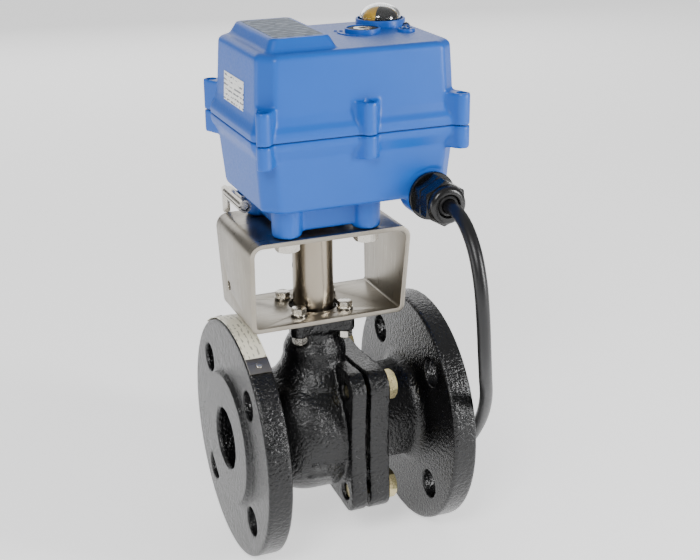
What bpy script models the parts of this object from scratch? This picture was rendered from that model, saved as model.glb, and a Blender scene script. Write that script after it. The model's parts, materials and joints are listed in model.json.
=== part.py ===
"""Flanged ball valve, DN 40, with its mounting bracket and electric quarter-turn actuator.

Metres, +Z up. The origin is the centre of the inlet flange's sealing face, +X runs along the
pipe to the outlet, and the stem turns about a vertical line at x = STEM_X. The ball is open.
"""

import math

import bmesh
import bpy
from mathutils import Matrix, Vector

MM = 0.001

# Fits: what touches keeps GAP, and what turns or slides in a hole keeps RUNNING.
GAP = 0.3 * MM
RUNNING = 0.3 * MM

# Pipe and flanges.
FACE_TO_FACE = 140 * MM
BORE_RADIUS = 19 * MM
FLANGE_RADIUS = 75 * MM
FLANGE_PLATE = 15 * MM
RAISED_FACE_RADIUS = 42 * MM
RAISED_FACE = 3 * MM
FLANGE_BOLT_CIRCLE = 55 * MM
FLANGE_HOLE_RADIUS = 9 * MM

# Valve body and its split flange.
STEM_X = 60 * MM
BALL_RADIUS = 31 * MM
CAVITY_RADIUS = BALL_RADIUS + 1.9 * MM
BODY_WALL = 8.1 * MM
NECK_RADIUS = 31 * MM
SPLIT_X = STEM_X + 16.8 * MM
SPLIT_GAP = 1.8 * MM
BODY_FLANGE = 10.5 * MM
TAIL_FLANGE = 13 * MM
SPLIT_HALF = 47 * MM
SPLIT_CORNER = 12 * MM
SPLIT_WAIST = 2.2 * MM
BODY_BOLT_OFFSET = 34.5 * MM
BODY_BOLT_RADIUS = 5 * MM
SEAT_RADIUS = BALL_RADIUS - 5 * MM
SEAT_FACE = BALL_RADIUS - 2.2 * MM

# Stem, its packing and the top pad.
STEM_RADIUS = 6.9 * MM
STEM_NECK_RADIUS = 20 * MM
PACKING_RADIUS = STEM_RADIUS + 4.1 * MM
PACKING_LOW = 52 * MM
PAD_TOP = 77.9 * MM
PAD_THICKNESS = 10.6 * MM
PAD_BOLT_OFFSET = 14.85 * MM
PAD_EAR_RADIUS = 6 * MM
PAD_WAIST = 4.4 * MM
PAD_BOLT_RADIUS = 2.5 * MM
STEM_SQUARE = 9 * MM
TANG_WIDTH = 6 * MM

# Bracket.
BRACKET_LOW = PAD_TOP + GAP
BRACKET_HIGH = 135.7 * MM
BRACKET_SHEET = 3 * MM
BRACKET_HALF_LOW = 48.9 * MM
BRACKET_HALF_HIGH = 50.6 * MM
BRACKET_DEPTH_LOW = 27.5 * MM
BRACKET_DEPTH_HIGH = 34 * MM
BRACKET_BEND_LOW = 4.5 * MM
BRACKET_BEND_HIGH = 8 * MM
BRACKET_HOLE_LOW = 15.5 * MM
BRACKET_HOLE_HIGH = 16 * MM
BRACKET_SIDE_HOLE_Y = 14 * MM
BRACKET_SIDE_HOLE_RADIUS = 2.9 * MM

# Coupling.
COUPLING_RADIUS = 12.5 * MM
COUPLING_LOW = BRACKET_LOW + 1 * MM
COUPLING_HIGH = BRACKET_HIGH - 1.2 * MM
DRIVE_SQUARE = 13 * MM
SOCKET_DEPTH = 20 * MM
PIN_HOLE_HEIGHT = 28 * MM
PIN_HOLE_BEARING = 168

# Actuator housing. Its plan is a rectangle with cut corners, and it grows towards the split.
HOUSING_CENTRE_X = STEM_X + 15 * MM
HOUSING_HALF_X = 64 * MM
HOUSING_HALF_Y = 48.4 * MM
HOUSING_CORNER = 8.5 * MM
HOUSING_EDGE = 4 * MM
HOUSING_WALL = 3 * MM
FOOT_LOW = BRACKET_HIGH + GAP
FLOOR_LOW = 154 * MM
HOUSING_SPLIT = 197.6 * MM
HOUSING_TOP = 245 * MM
GASKET = 1.2 * MM
BELT_STEP = 3.6 * MM
COVER_DRAFT = 1.5 * MM
BASE_DRAFT = 2.4 * MM
BASE_BELT = (HOUSING_SPLIT - 11.1 * MM, HOUSING_SPLIT - 5.1 * MM, HOUSING_SPLIT - 3.6 * MM)
COVER_BELT = (3.6 * MM, 5.4 * MM, 8.4 * MM, 13.4 * MM)
FOOT_HALF = 27.5 * MM
FOOT_ARCH = 2.6 * MM
FOOT_BOLT_OFFSET = 24.75 * MM
FOOT_PAD_RADIUS = 9 * MM
FOOT_BOLT_RADIUS = 4 * MM

# Cover screws and their bosses.
BOSS_X = (STEM_X - 44.9 * MM, STEM_X + 17.5 * MM, STEM_X + 75 * MM)
BOSS_Y = HOUSING_HALF_Y - 0.6 * MM
BOSS_RADIUS = 5 * MM
BOSS_LOW = 184 * MM
BOSS_HIGH = 216 * MM
BOSS_SPREAD = 8.3 * MM
COVER_SCREW_RADIUS = 2 * MM

# Top of the cover.
LABEL_PAD_X = STEM_X - 16.4 * MM
LABEL_PAD_HALF_X = 17.2 * MM
LABEL_PAD_HALF_Y = 33 * MM
LABEL_PAD_SLOPE = 3.4 * MM
LABEL_PAD_HEIGHT = 7 * MM
TOP_RING_FOOT = 0.3 * MM
DOME_RADIUS = 12.5 * MM
DOME_SKIRT = 4.5 * MM
DOME_HEIGHT = 8.7 * MM
DOME_WALL = 1.2 * MM
DOME_FLANGE = 0.9 * MM
DOME_RING = 4.3 * MM
DOME_RING_RADIUS = 15 * MM
OVERRIDE_RING_RADIUS = 10.6 * MM
OVERRIDE_RING = 2.6 * MM
OVERRIDE_SEAL_RADIUS = 9.2 * MM
OVERRIDE_HEAD_RADIUS = 5.6 * MM
LAMP_X = STEM_X + 60.5 * MM
LAMP_Y = -2.5 * MM
LAMP_BOSS_RADIUS = 5.3 * MM
LAMP_RING = 1.6 * MM
LAMP_RADIUS = 2.4 * MM
LAMP_FLANGE = 1 * MM

# Gears: the output gear turns the override pinion, and the upper pair brings the turn back 1:1.
LOWER_MODULE = 1.65 * MM
UPPER_MODULE = 1.2 * MM
MOTOR_MODULE = 1 * MM
GEAR_TEETH = 24
PINION_TEETH = 20
WHEEL_TEETH = 32
MOTOR_TEETH = 8
GEAR_LOW = 161 * MM
GEAR_WIDTH = 5 * MM
WHEEL_LOW = 168 * MM
WHEEL_WIDTH = 4 * MM
UPPER_LOW = 229 * MM
UPPER_WIDTH = 4 * MM
PLATE_LOW = 175 * MM
PLATE_SHEET = 2 * MM
OVERRIDE_BEARING = 7.8
INDICATOR_BEARING = 43.6
MOTOR_BEARING = -55.0

# Shafts.
OUTPUT_RADIUS = 8 * MM
JOURNAL_RADIUS = 10 * MM
BUSH_WALL = 2.7 * MM
OVERRIDE_RADIUS = 4 * MM
INDICATOR_RADIUS = 3 * MM
MOTOR_SHAFT_RADIUS = 2 * MM
MOTOR_RADIUS = 15 * MM
CAM_RADIUS = 11 * MM
CAM_LOBE = 14.5 * MM
CAM_LOW, CAM_HIGH = 181 * MM, 195 * MM
CAM_PLACES = (183 * MM, 190 * MM)
CAM_WIDTH = 3 * MM

# Cable gland, on the front of the base, and its cable.
GLAND_X = STEM_X + 58.7 * MM
GLAND_Z = 155.5 * MM
GLAND_SEAT_Y = -42.6 * MM
GLAND_BOSS_RADIUS = 14.2 * MM
GLAND_RECESS_RADIUS = 17.5 * MM
GLAND_FLANGE_RADIUS = 14.5 * MM
GLAND_FLATS = 24 * MM
GLAND_THREAD_RADIUS = 9.7 * MM
GLAND_LENGTH = 25 * MM
CABLE_DIAMETER = 8 * MM
SURFACE_Z = -FLANGE_RADIUS

# The cable's route after the gland, chosen by hand: down past the outlet flange, then behind it.
CABLE_ROUTE = [
    (118.7, -50.0, 155.5),
    (118.7, -59.0, 155.5),
    (118.7, -68.0, 155.5),
    (118.7, -77.0, 154.9),
    (118.6, -89.0, 149.8),
    (118.6, -100.0, 138.6),
    (119.0, -107.0, 122.0),
    (120.4, -108.6, 102.0),
    (124.4, -103.8, 80.0),
    (131.4, -93.0, 58.0),
    (140.0, -78.5, 36.5),
    (147.0, -61.0, 14.5),
    (151.0, -41.5, -8.0),
    (152.6, -20.0, -30.0),
    (152.4, 4.0, -49.5),
    (150.4, 31.0, -64.0),
    (147.0, 59.0, -70.6),
    (141.6, 87.0, -71.0),
    (135.0, 113.0, -71.0),
]
COIL_X = 84 * MM
COIL_Y = 150 * MM
COIL_RADIUS = 41 * MM
COIL_LAYERS = 2

# Key for the override, in its clip under the base.
KEY_FLATS = 4.2 * MM
KEY_X = STEM_X - 41 * MM
KEY_Z = 148 * MM
KEY_FRONT_Y = 3 * MM
KEY_LENGTH = 40 * MM
KEY_SHORT = 14 * MM
CLIP_WALL = 1.2 * MM
CLIP_LENGTH = 33 * MM
CLIP_SLOT = 0.8 * MM

# Rating tag, bent over the inlet flange's rim.
TAG_SHEET = 0.8 * MM
TAG_WIDTH = 13.6 * MM
TAG_START = 54.0
TAG_END = 126.0

STEPS = 32
FEW_STEPS = 16
FINE_ANGLE = math.radians(35)

LAY_ALONG_X = Matrix(((0, 0, 1), (1, 0, 0), (0, 1, 0))).to_euler()
LAY_ALONG_Y = Matrix(((1, 0, 0), (0, 0, -1), (0, 1, 0))).to_euler()


# Places of the shafts, worked out from the gears.
def polar(start, distance, degrees):
    angle = math.radians(degrees)
    return Vector((start.x + distance * math.cos(angle), start.y + distance * math.sin(angle)))


def centre_distance(module, teeth, mate_teeth):
    return module * (teeth + mate_teeth) / 2


STEM = Vector((STEM_X, 0.0))
OVERRIDE = polar(STEM, centre_distance(LOWER_MODULE, GEAR_TEETH, PINION_TEETH), OVERRIDE_BEARING)
INDICATOR = polar(
    OVERRIDE, centre_distance(UPPER_MODULE, PINION_TEETH, GEAR_TEETH), INDICATOR_BEARING
)
MOTOR = polar(OVERRIDE, centre_distance(MOTOR_MODULE, WHEEL_TEETH, MOTOR_TEETH), MOTOR_BEARING)


def clear_scene():
    for obj in list(bpy.data.objects):
        bpy.data.objects.remove(obj, do_unlink=True)


def make_collection(name, hidden):
    collection = bpy.data.collections.new(name)
    bpy.context.scene.collection.children.link(collection)
    collection.hide_render = hidden
    return collection


clear_scene()
PARTS = make_collection("motorized_valve_actuator", False)
CUTTERS = make_collection("cutters", True)


# Shapes. Each starts as a helper, and finish() turns the ones that are pieces into parts.
def helper(name, data):
    obj = bpy.data.objects.new(name, data)
    CUTTERS.objects.link(obj)
    obj.hide_render = True
    obj.display_type = "WIRE"
    return obj


def from_bmesh(bm, name="shape"):
    mesh = bpy.data.meshes.new(name)
    bm.to_mesh(mesh)
    bm.free()
    return helper(name, mesh)


def cylinder(low, high, radius, sides=FEW_STEPS):
    """A cylinder from the point low to the point high."""
    low, high = Vector(low), Vector(high)
    bm = bmesh.new()
    bmesh.ops.create_cone(
        bm,
        cap_ends=True,
        segments=sides,
        radius1=radius,
        radius2=radius,
        depth=(high - low).length,
    )
    obj = from_bmesh(bm, "cylinder")
    obj.location = (low + high) / 2
    obj.rotation_euler = (high - low).to_track_quat("Z", "Y").to_euler()
    return obj


def drill(low, high, radius, sides=FEW_STEPS):
    """A cutter for a round hole, whose flat sides lie at the radius."""
    return cylinder(low, high, radius / math.cos(math.pi / sides), sides=sides)


def hexagon(low, high, flats):
    """A hexagonal bar, measured across its flats, from the point low to the point high."""
    return cylinder(low, high, flats / math.sqrt(3), sides=6)


def box(low, high):
    low, high = Vector(low), Vector(high)
    bm = bmesh.new()
    bmesh.ops.create_cube(bm, size=1)
    bmesh.ops.scale(bm, vec=high - low, verts=bm.verts)
    obj = from_bmesh(bm, "box")
    obj.location = (low + high) / 2
    return obj


def turned(profile, place, along="Z", steps=STEPS, ring=False):
    """A turned piece: (radius, height) points down its outer side. A ring's profile closes on itself."""
    bm = bmesh.new()
    points = [bm.verts.new((radius, 0, height)) for radius, height in profile]
    for start, end in zip(points, points[1:]):
        bm.edges.new((start, end))
    if ring:
        bm.edges.new((points[-1], points[0]))
    obj = from_bmesh(bm, "turned")
    screw = obj.modifiers.new("Screw", "SCREW")
    screw.steps = steps
    screw.render_steps = steps
    screw.use_merge_vertices = True
    screw.merge_threshold = 1e-6
    screw.use_smooth_shade = False
    obj.location = place
    if along == "X":
        obj.rotation_euler = (0, math.pi / 2, 0)
    if along == "Y":
        obj.rotation_euler = (-math.pi / 2, 0, 0)
    return obj


def arc(centre, radius, start, end, steps):
    """Points on an arc, from the angle start to the angle end in degrees."""
    x, y = centre
    found = []
    for step in range(steps + 1):
        angle = math.radians(start + (end - start) * step / steps)
        found.append((x + radius * math.cos(angle), y + radius * math.sin(angle)))
    return found


def rounded(corners, radii, steps=3):
    """The outline through the corners, each rounded to its radius."""
    outline = []
    for index, corner in enumerate(corners):
        here = Vector(corner)
        back = (Vector(corners[index - 1]) - here).normalized()
        ahead = (Vector(corners[(index + 1) % len(corners)]) - here).normalized()
        half = math.acos(max(-1.0, min(1.0, back.dot(ahead)))) / 2
        reach = radii[index] / math.tan(half)
        centre = here + (back + ahead).normalized() * (radii[index] / math.sin(half))
        start = here + back * reach - centre
        end = here + ahead * reach - centre
        turn = start.angle_signed(end)
        for step in range(steps + 1):
            spoke = start.copy()
            spoke.rotate(Matrix.Rotation(-turn * step / steps, 2))
            outline.append(tuple(centre + spoke))
    return outline


def plate(outlines, low, high, lay=None, place=(0, 0, 0)):
    """A flat shape between the closed outlines, from low to high along its own Z, as a mesh."""
    curve = bpy.data.curves.new("outline", "CURVE")
    curve.dimensions = "2D"
    curve.fill_mode = "BOTH"
    curve.extrude = (high - low) / 2
    for outline in outlines:
        spline = curve.splines.new("POLY")
        spline.points.add(len(outline) - 1)
        for point, (x, y) in zip(spline.points, outline):
            point.co = (x, y, 0, 1)
        spline.use_cyclic_u = True
    drawn = helper("outline", curve)
    bpy.context.view_layer.update()
    graph = bpy.context.evaluated_depsgraph_get()
    mesh = bpy.data.meshes.new_from_object(drawn.evaluated_get(graph))
    bpy.data.objects.remove(drawn, do_unlink=True)
    bm = bmesh.new()
    bm.from_mesh(mesh)
    bmesh.ops.remove_doubles(bm, verts=bm.verts, dist=1e-7)
    bmesh.ops.translate(bm, vec=(0, 0, (low + high) / 2), verts=bm.verts)
    bmesh.ops.recalc_face_normals(bm, faces=bm.faces)
    obj = from_bmesh(bm, "plate")
    obj.location = place
    if lay is not None:
        obj.rotation_euler = lay
    return obj


def loft(rings, open_start=False, open_end=False):
    """A skin over rings of points that run anticlockwise seen from above, from the lowest ring up."""
    bm = bmesh.new()
    made = [[bm.verts.new(point) for point in ring] for ring in rings]
    count = len(rings[0])
    for lower, upper in zip(made, made[1:]):
        for index in range(count):
            after = (index + 1) % count
            bm.faces.new((lower[index], lower[after], upper[after], upper[index]))
    if not open_start:
        bm.faces.new(reversed(made[0]))
    if not open_end:
        bm.faces.new(made[-1])
    return from_bmesh(bm, "loft")


def boolean(target, others, operation):
    for other in others:
        modifier = target.modifiers.new(operation.title(), "BOOLEAN")
        modifier.operation = operation
        modifier.solver = "EXACT"
        modifier.object = other
    return target


def join(target, *others):
    return boolean(target, others, "UNION")


def cut(target, *others):
    return boolean(target, others, "DIFFERENCE")


def material(name, colour, roughness, metallic):
    found = bpy.data.materials.get(name)
    if found:
        return found
    made = bpy.data.materials.new(name)
    made.use_nodes = True
    shader = made.node_tree.nodes["Principled BSDF"]
    shader.inputs["Base Color"].default_value = (*colour, 1)
    shader.inputs["Roughness"].default_value = roughness
    shader.inputs["Metallic"].default_value = metallic
    return made


FINISHES = {
    "black_cast_iron": ((0.02, 0.02, 0.022), 0.4, 0.2),
    "stainless": ((0.55, 0.53, 0.49), 0.35, 1.0),
    "zinc_yellow": ((0.62, 0.52, 0.27), 0.35, 1.0),
    "blue_paint": ((0.07, 0.23, 0.58), 0.4, 0.0),
    "black_nylon": ((0.015, 0.015, 0.018), 0.3, 0.0),
    "ptfe": ((0.85, 0.85, 0.82), 0.5, 0.0),
    "cream_enamel": ((0.86, 0.84, 0.71), 0.4, 0.0),
    "clear_plastic": ((0.9, 0.9, 0.9), 0.05, 0.0),
    "indicator_yellow": ((0.9, 0.68, 0.06), 0.4, 0.0),
    "gear_steel": ((0.42, 0.42, 0.43), 0.35, 1.0),
    "bronze": ((0.5, 0.33, 0.14), 0.4, 1.0),
    "board_green": ((0.02, 0.2, 0.08), 0.5, 0.0),
    "rubber_black": ((0.02, 0.02, 0.02), 0.7, 0.0),
    "switch_plastic": ((0.05, 0.05, 0.06), 0.5, 0.0),
}


def finish(obj, name, look):
    """Makes a helper into a named part with its material."""
    CUTTERS.objects.unlink(obj)
    PARTS.objects.link(obj)
    obj.name = name
    obj.data.name = name
    obj.hide_render = False
    obj.display_type = "TEXTURED"
    obj.data.materials.append(material(look, *FINISHES[look]))
    if obj.type == "MESH" and obj.data.polygons:
        obj.data.shade_smooth()
        obj.data.set_sharp_from_angle(angle=FINE_ANGLE)
    return obj


def four_corners(offset):
    return [(side_x * offset, side_y * offset) for side_x in (-1, 1) for side_y in (-1, 1)]


# Valve.
def waisted_square(half, corner, waist):
    """A square with round corners, whose sides pull in a little at the middle."""
    inner = half - corner
    outline = []
    for quarter in range(4):
        start = 90 * quarter
        turn = math.radians(start)
        centre = (
            inner * (math.cos(turn) - math.sin(turn)),
            inner * (math.cos(turn) + math.sin(turn)),
        )
        outline += arc(centre, corner, start, start + 90, 4)
        reach = half - waist
        outline.append((-math.sin(turn) * reach, math.cos(turn) * reach))
    return outline


def split_flange(low, high):
    return plate([waisted_square(SPLIT_HALF, SPLIT_CORNER, SPLIT_WAIST)], low, high, LAY_ALONG_X)


def flange_holes(low, high):
    holes = []
    for index in range(4):
        angle = math.radians(45 + 90 * index)
        y, z = FLANGE_BOLT_CIRCLE * math.cos(angle), FLANGE_BOLT_CIRCLE * math.sin(angle)
        holes.append(drill((low, y, z), (high, y, z), FLANGE_HOLE_RADIUS))
    return holes


def body_bolt_places():
    return four_corners(BODY_BOLT_OFFSET)


def body_bolt_holes(low, high):
    radius = BODY_BOLT_RADIUS + GAP
    return [drill((low, y, z), (high, y, z), radius, 12) for y, z in body_bolt_places()]


def make_valve_body():
    back = RAISED_FACE + FLANGE_PLATE
    bowl = CAVITY_RADIUS + BODY_WALL
    cavity_low = STEM_X - 20 * MM
    pocket = STEM_X - SEAT_FACE
    outside = [
        (bowl - 1 * MM, SPLIT_X),
        (bowl, STEM_X + 4 * MM),
        (bowl, STEM_X - 14 * MM),
        (bowl - 1.6 * MM, STEM_X - 21 * MM),
        (bowl - 6 * MM, STEM_X - 28 * MM),
        (NECK_RADIUS, STEM_X - 33 * MM),
        (NECK_RADIUS + 1.5 * MM, back + 4 * MM),
        (NECK_RADIUS + 6 * MM, back),
        (FLANGE_RADIUS, back),
        (FLANGE_RADIUS, RAISED_FACE),
        (RAISED_FACE_RADIUS, RAISED_FACE),
        (RAISED_FACE_RADIUS, 0),
    ]
    inside = [
        (BORE_RADIUS, 0),
        (BORE_RADIUS, pocket),
        (SEAT_RADIUS + GAP, pocket),
        (SEAT_RADIUS + GAP, cavity_low),
        (CAVITY_RADIUS, cavity_low),
        (CAVITY_RADIUS, SPLIT_X),
    ]
    body = turned(outside + inside, (0, 0, 0), along="X", ring=True)
    flange = split_flange(SPLIT_X - BODY_FLANGE, SPLIT_X)
    cut(
        flange,
        cylinder((SPLIT_X - 30 * MM, 0, 0), (SPLIT_X + 5 * MM, 0, 0), CAVITY_RADIUS, sides=STEPS),
    )
    neck_foot = CAVITY_RADIUS + 1.5 * MM
    pad_low = PAD_TOP - PAD_THICKNESS
    neck = turned(
        [
            (0, PAD_TOP - 2 * MM),
            (STEM_NECK_RADIUS - 4.4 * MM, PAD_TOP - 2 * MM),
            (STEM_NECK_RADIUS - 4.4 * MM, pad_low - 6 * MM),
            (STEM_NECK_RADIUS - 2.6 * MM, pad_low - 8 * MM),
            (STEM_NECK_RADIUS - 0.4 * MM, pad_low - 13 * MM),
            (STEM_NECK_RADIUS, 48 * MM),
            (STEM_NECK_RADIUS + 6 * MM, neck_foot),
            (0, neck_foot),
        ],
        (STEM_X, 0, 0),
        steps=24,
    )
    over_tail = box(
        (SPLIT_X - 1 * MM, -SPLIT_HALF, 0), (SPLIT_X + SPLIT_HALF, SPLIT_HALF, SPLIT_HALF + 1 * MM)
    )
    cut(neck, over_tail)
    pad_outline = waisted_square(PAD_BOLT_OFFSET + PAD_EAR_RADIUS, PAD_EAR_RADIUS, PAD_WAIST)
    join(body, flange, neck, plate([pad_outline], pad_low, PAD_TOP, place=(STEM_X, 0, 0)))
    stem_hole = STEM_RADIUS + RUNNING
    collar_top = 36 * MM
    drilled = [
        (0, PAD_TOP + 5 * MM),
        (PACKING_RADIUS, PAD_TOP + 5 * MM),
        (PACKING_RADIUS, PACKING_LOW - GAP),
        (stem_hole, PACKING_LOW - GAP),
        (stem_hole, collar_top),
        (stem_hole + 2.1 * MM, collar_top),
        (stem_hole + 2.1 * MM, BORE_RADIUS + 5 * MM),
        (0, BORE_RADIUS + 5 * MM),
    ]
    cut(body, turned(drilled, (STEM_X, 0, 0), steps=24))
    cut(body, *flange_holes(-5 * MM, back + 5 * MM))
    cut(body, *body_bolt_holes(SPLIT_X - BODY_FLANGE - 6 * MM, SPLIT_X + 5 * MM))
    for x, y in four_corners(PAD_BOLT_OFFSET):
        low = (STEM_X + x, y, pad_low - 3 * MM)
        high = (STEM_X + x, y, PAD_TOP + 3 * MM)
        cut(body, drill(low, high, PAD_BOLT_RADIUS + GAP, 10))
    finish(body, "valve_body", "black_cast_iron")


def make_end_connector():
    start = SPLIT_X + SPLIT_GAP
    pocket = STEM_X + SEAT_FACE
    back = FACE_TO_FACE - RAISED_FACE - FLANGE_PLATE
    face = FACE_TO_FACE - RAISED_FACE
    outside = [
        (RAISED_FACE_RADIUS, FACE_TO_FACE),
        (RAISED_FACE_RADIUS, face),
        (FLANGE_RADIUS, face),
        (FLANGE_RADIUS, back),
        (NECK_RADIUS + 6 * MM, back),
        (NECK_RADIUS + 1.5 * MM, back - 4 * MM),
        (NECK_RADIUS, back - 9 * MM),
        (NECK_RADIUS, start + TAIL_FLANGE + 4 * MM),
        (NECK_RADIUS + 3 * MM, start + TAIL_FLANGE - 2 * MM),
        (NECK_RADIUS + 5 * MM, start),
    ]
    inside = [
        (SEAT_RADIUS + GAP, start),
        (SEAT_RADIUS + GAP, pocket),
        (BORE_RADIUS, pocket),
        (BORE_RADIUS, FACE_TO_FACE),
    ]
    tail = turned(outside + inside, (0, 0, 0), along="X", ring=True)
    flange = split_flange(start, start + TAIL_FLANGE)
    core = cylinder(
        (start - 5 * MM, 0, 0), (start + 20 * MM, 0, 0), SEAT_RADIUS + 3 * MM, sides=STEPS
    )
    join(tail, cut(flange, core))
    cut(tail, *flange_holes(back - 5 * MM, FACE_TO_FACE + 5 * MM))
    cut(tail, *body_bolt_holes(start - 5 * MM, start + TAIL_FLANGE + 6 * MM))
    finish(tail, "end_connector", "black_cast_iron")


def make_ball():
    bm = bmesh.new()
    bmesh.ops.create_uvsphere(bm, u_segments=24, v_segments=12, radius=BALL_RADIUS)
    ball = from_bmesh(bm, "ball")
    ball.location = (STEM_X, 0, 0)
    reach = BALL_RADIUS + 5 * MM
    through = cylinder((STEM_X - reach, 0, 0), (STEM_X + reach, 0, 0), BORE_RADIUS, sides=STEPS)
    half = TANG_WIDTH / 2 + RUNNING
    slot = box(
        (STEM_X - half, -10 * MM, BALL_RADIUS - 6 * MM), (STEM_X + half, 10 * MM, BALL_RADIUS * 2)
    )
    finish(cut(ball, through, slot), "ball", "stainless")


def make_seats():
    """Each seat ring's inner face follows the ball, a gap away."""
    touch = BALL_RADIUS + GAP
    bore = BORE_RADIUS + 0.5 * MM
    curve = []
    for step in range(4):
        radius = SEAT_RADIUS + (bore - SEAT_RADIUS) * step / 3
        curve.append((radius, math.sqrt(touch**2 - radius**2)))
    outer = SEAT_FACE - GAP
    for name, sign in (("inlet_seat", -1), ("outlet_seat", 1)):
        profile = [(bore, outer), (SEAT_RADIUS, outer)] + curve
        points = [(radius, sign * height) for radius, height in profile]
        if sign < 0:
            points.reverse()
        ring = turned(points, (STEM_X, 0, 0), along="X", ring=True)
        finish(ring, name, "ptfe")


def make_body_seal():
    low = SPLIT_X + GAP
    high = SPLIT_X + SPLIT_GAP - GAP
    inner, outer = CAVITY_RADIUS + 0.3 * MM, CAVITY_RADIUS + 4.6 * MM
    ring = turned(
        [(outer, high), (outer, low), (inner, low), (inner, high)],
        (0, 0, 0),
        along="X",
        ring=True,
    )
    finish(ring, "body_seal_ring", "ptfe")


def make_body_bolts():
    head_low = SPLIT_X + SPLIT_GAP + TAIL_FLANGE + GAP
    head_high = head_low + 6.4 * MM
    tip = SPLIT_X - BODY_FLANGE + 2 * MM
    for index, (y, z) in enumerate(body_bolt_places(), 1):
        head = hexagon((head_low, y, z), (head_high, y, z), 16 * MM)
        shank = cylinder((tip, y, z), (head_high - 1 * MM, y, z), BODY_BOLT_RADIUS, sides=12)
        finish(join(head, shank), f"body_bolt_{index}", "zinc_yellow")


def make_stem():
    tang_low = BALL_RADIUS - 5.6 * MM
    seat = BALL_RADIUS + 0.8 * MM
    shaft_top = PAD_TOP - 1 * MM
    collar = STEM_RADIUS + 2 * MM
    stem = turned(
        [
            (0, shaft_top),
            (STEM_RADIUS, shaft_top),
            (STEM_RADIUS, 35.6 * MM),
            (collar, 35.6 * MM),
            (collar, seat),
            (0, seat),
        ],
        (STEM_X, 0, 0),
        steps=24,
    )
    half = TANG_WIDTH / 2
    tang = box((STEM_X - half, -7 * MM, tang_low), (STEM_X + half, 7 * MM, seat + 1 * MM))
    half = STEM_SQUARE / 2
    top = COUPLING_LOW + SOCKET_DEPTH - 2 * MM
    square = box((STEM_X - half, -half, shaft_top - 2 * MM), (STEM_X + half, half, top))
    finish(join(stem, tang, square), "valve_stem", "stainless")


def make_packing():
    inner = STEM_RADIUS + RUNNING
    outer = PACKING_RADIUS - GAP
    low, high = PACKING_LOW, PACKING_LOW + 9 * MM
    ring = turned(
        [(outer, high), (outer, low), (inner, low), (inner, high)],
        (STEM_X, 0, 0),
        steps=24,
        ring=True,
    )
    finish(ring, "stem_packing", "ptfe")
    low, high = high + GAP, PAD_TOP - 3 * MM
    nut = turned(
        [(outer, high), (outer, low), (inner, low), (inner, high)],
        (STEM_X, 0, 0),
        steps=24,
        ring=True,
    )
    for side in (-1, 1):
        slot = box(
            (STEM_X - 1.5 * MM, min(side * 6 * MM, side * 14 * MM), high - 2 * MM),
            (STEM_X + 1.5 * MM, max(side * 6 * MM, side * 14 * MM), high + 2 * MM),
        )
        cut(nut, slot)
    finish(nut, "gland_nut", "stainless")


def make_rating_tag():
    inner = FLANGE_RADIUS + GAP
    outer = inner + TAG_SHEET
    band = arc((0, 0), outer, 180 - TAG_START, 180 - TAG_END, 12)
    band += arc((0, 0), inner, 180 - TAG_END, 180 - TAG_START, 12)
    low = RAISED_FACE + (FLANGE_PLATE - TAG_WIDTH) / 2
    tag = plate([band], low, low + TAG_WIDTH, LAY_ALONG_X)
    for degrees in (TAG_START + 5, TAG_END - 5):
        angle = math.radians(180 - degrees)
        y, z = math.cos(angle), math.sin(angle)
        x = low + TAG_WIDTH / 2
        start = inner + TAG_SHEET / 2
        end = outer + 0.9 * MM
        join(tag, cylinder((x, y * start, z * start), (x, y * end, z * end), 2.2 * MM, sides=10))
    finish(tag, "rating_tag", "cream_enamel")


# Bracket and its fasteners.
def bracket_corners(inset):
    low, high = BRACKET_LOW + inset, BRACKET_HIGH - inset
    return [
        (-BRACKET_HALF_LOW + inset, low),
        (BRACKET_HALF_LOW - inset, low),
        (BRACKET_HALF_HIGH - inset, high),
        (-BRACKET_HALF_HIGH + inset, high),
    ]


def make_bracket():
    """One strip bent into a closed frame. Its sides grow deeper towards the top."""
    bends = [BRACKET_BEND_LOW] * 2 + [BRACKET_BEND_HIGH] * 2
    inner_bends = [bend - BRACKET_SHEET for bend in bends]
    outside = rounded(bracket_corners(0), bends, steps=4)
    inside = rounded(bracket_corners(BRACKET_SHEET), inner_bends, steps=4)
    frame = plate([outside, inside], -1, 1, LAY_ALONG_Y, (STEM_X, 0, 0))
    rise = (BRACKET_DEPTH_HIGH - BRACKET_DEPTH_LOW) / (BRACKET_HIGH - BRACKET_LOW)
    for point in frame.data.vertices:
        depth = BRACKET_DEPTH_LOW + rise * (point.co.y - BRACKET_LOW)
        point.co.z = math.copysign(depth, point.co.z)
    low, high = BRACKET_LOW - 5 * MM, BRACKET_LOW + BRACKET_SHEET + 5 * MM
    cut(frame, cylinder((STEM_X, 0, low), (STEM_X, 0, high), BRACKET_HOLE_LOW))
    for x, y in four_corners(PAD_BOLT_OFFSET):
        hole = drill((STEM_X + x, y, low), (STEM_X + x, y, high), PAD_BOLT_RADIUS + GAP, 10)
        cut(frame, hole)
    low, high = BRACKET_HIGH - BRACKET_SHEET - 5 * MM, BRACKET_HIGH + 5 * MM
    cut(frame, cylinder((STEM_X, 0, low), (STEM_X, 0, high), BRACKET_HOLE_HIGH))
    for x, y in four_corners(FOOT_BOLT_OFFSET):
        hole = drill((STEM_X + x, y, low), (STEM_X + x, y, high), FOOT_BOLT_RADIUS + GAP, 12)
        cut(frame, hole)
    side = STEM_X - BRACKET_HALF_HIGH
    height = BRACKET_LOW + 0.3 * (BRACKET_HIGH - BRACKET_LOW)
    start = (side - 5 * MM, BRACKET_SIDE_HOLE_Y, height)
    end = (side + 10 * MM, BRACKET_SIDE_HOLE_Y, height)
    cut(frame, cylinder(start, end, BRACKET_SIDE_HOLE_RADIUS, sides=12))
    finish(frame, "mounting_bracket", "stainless")


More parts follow.
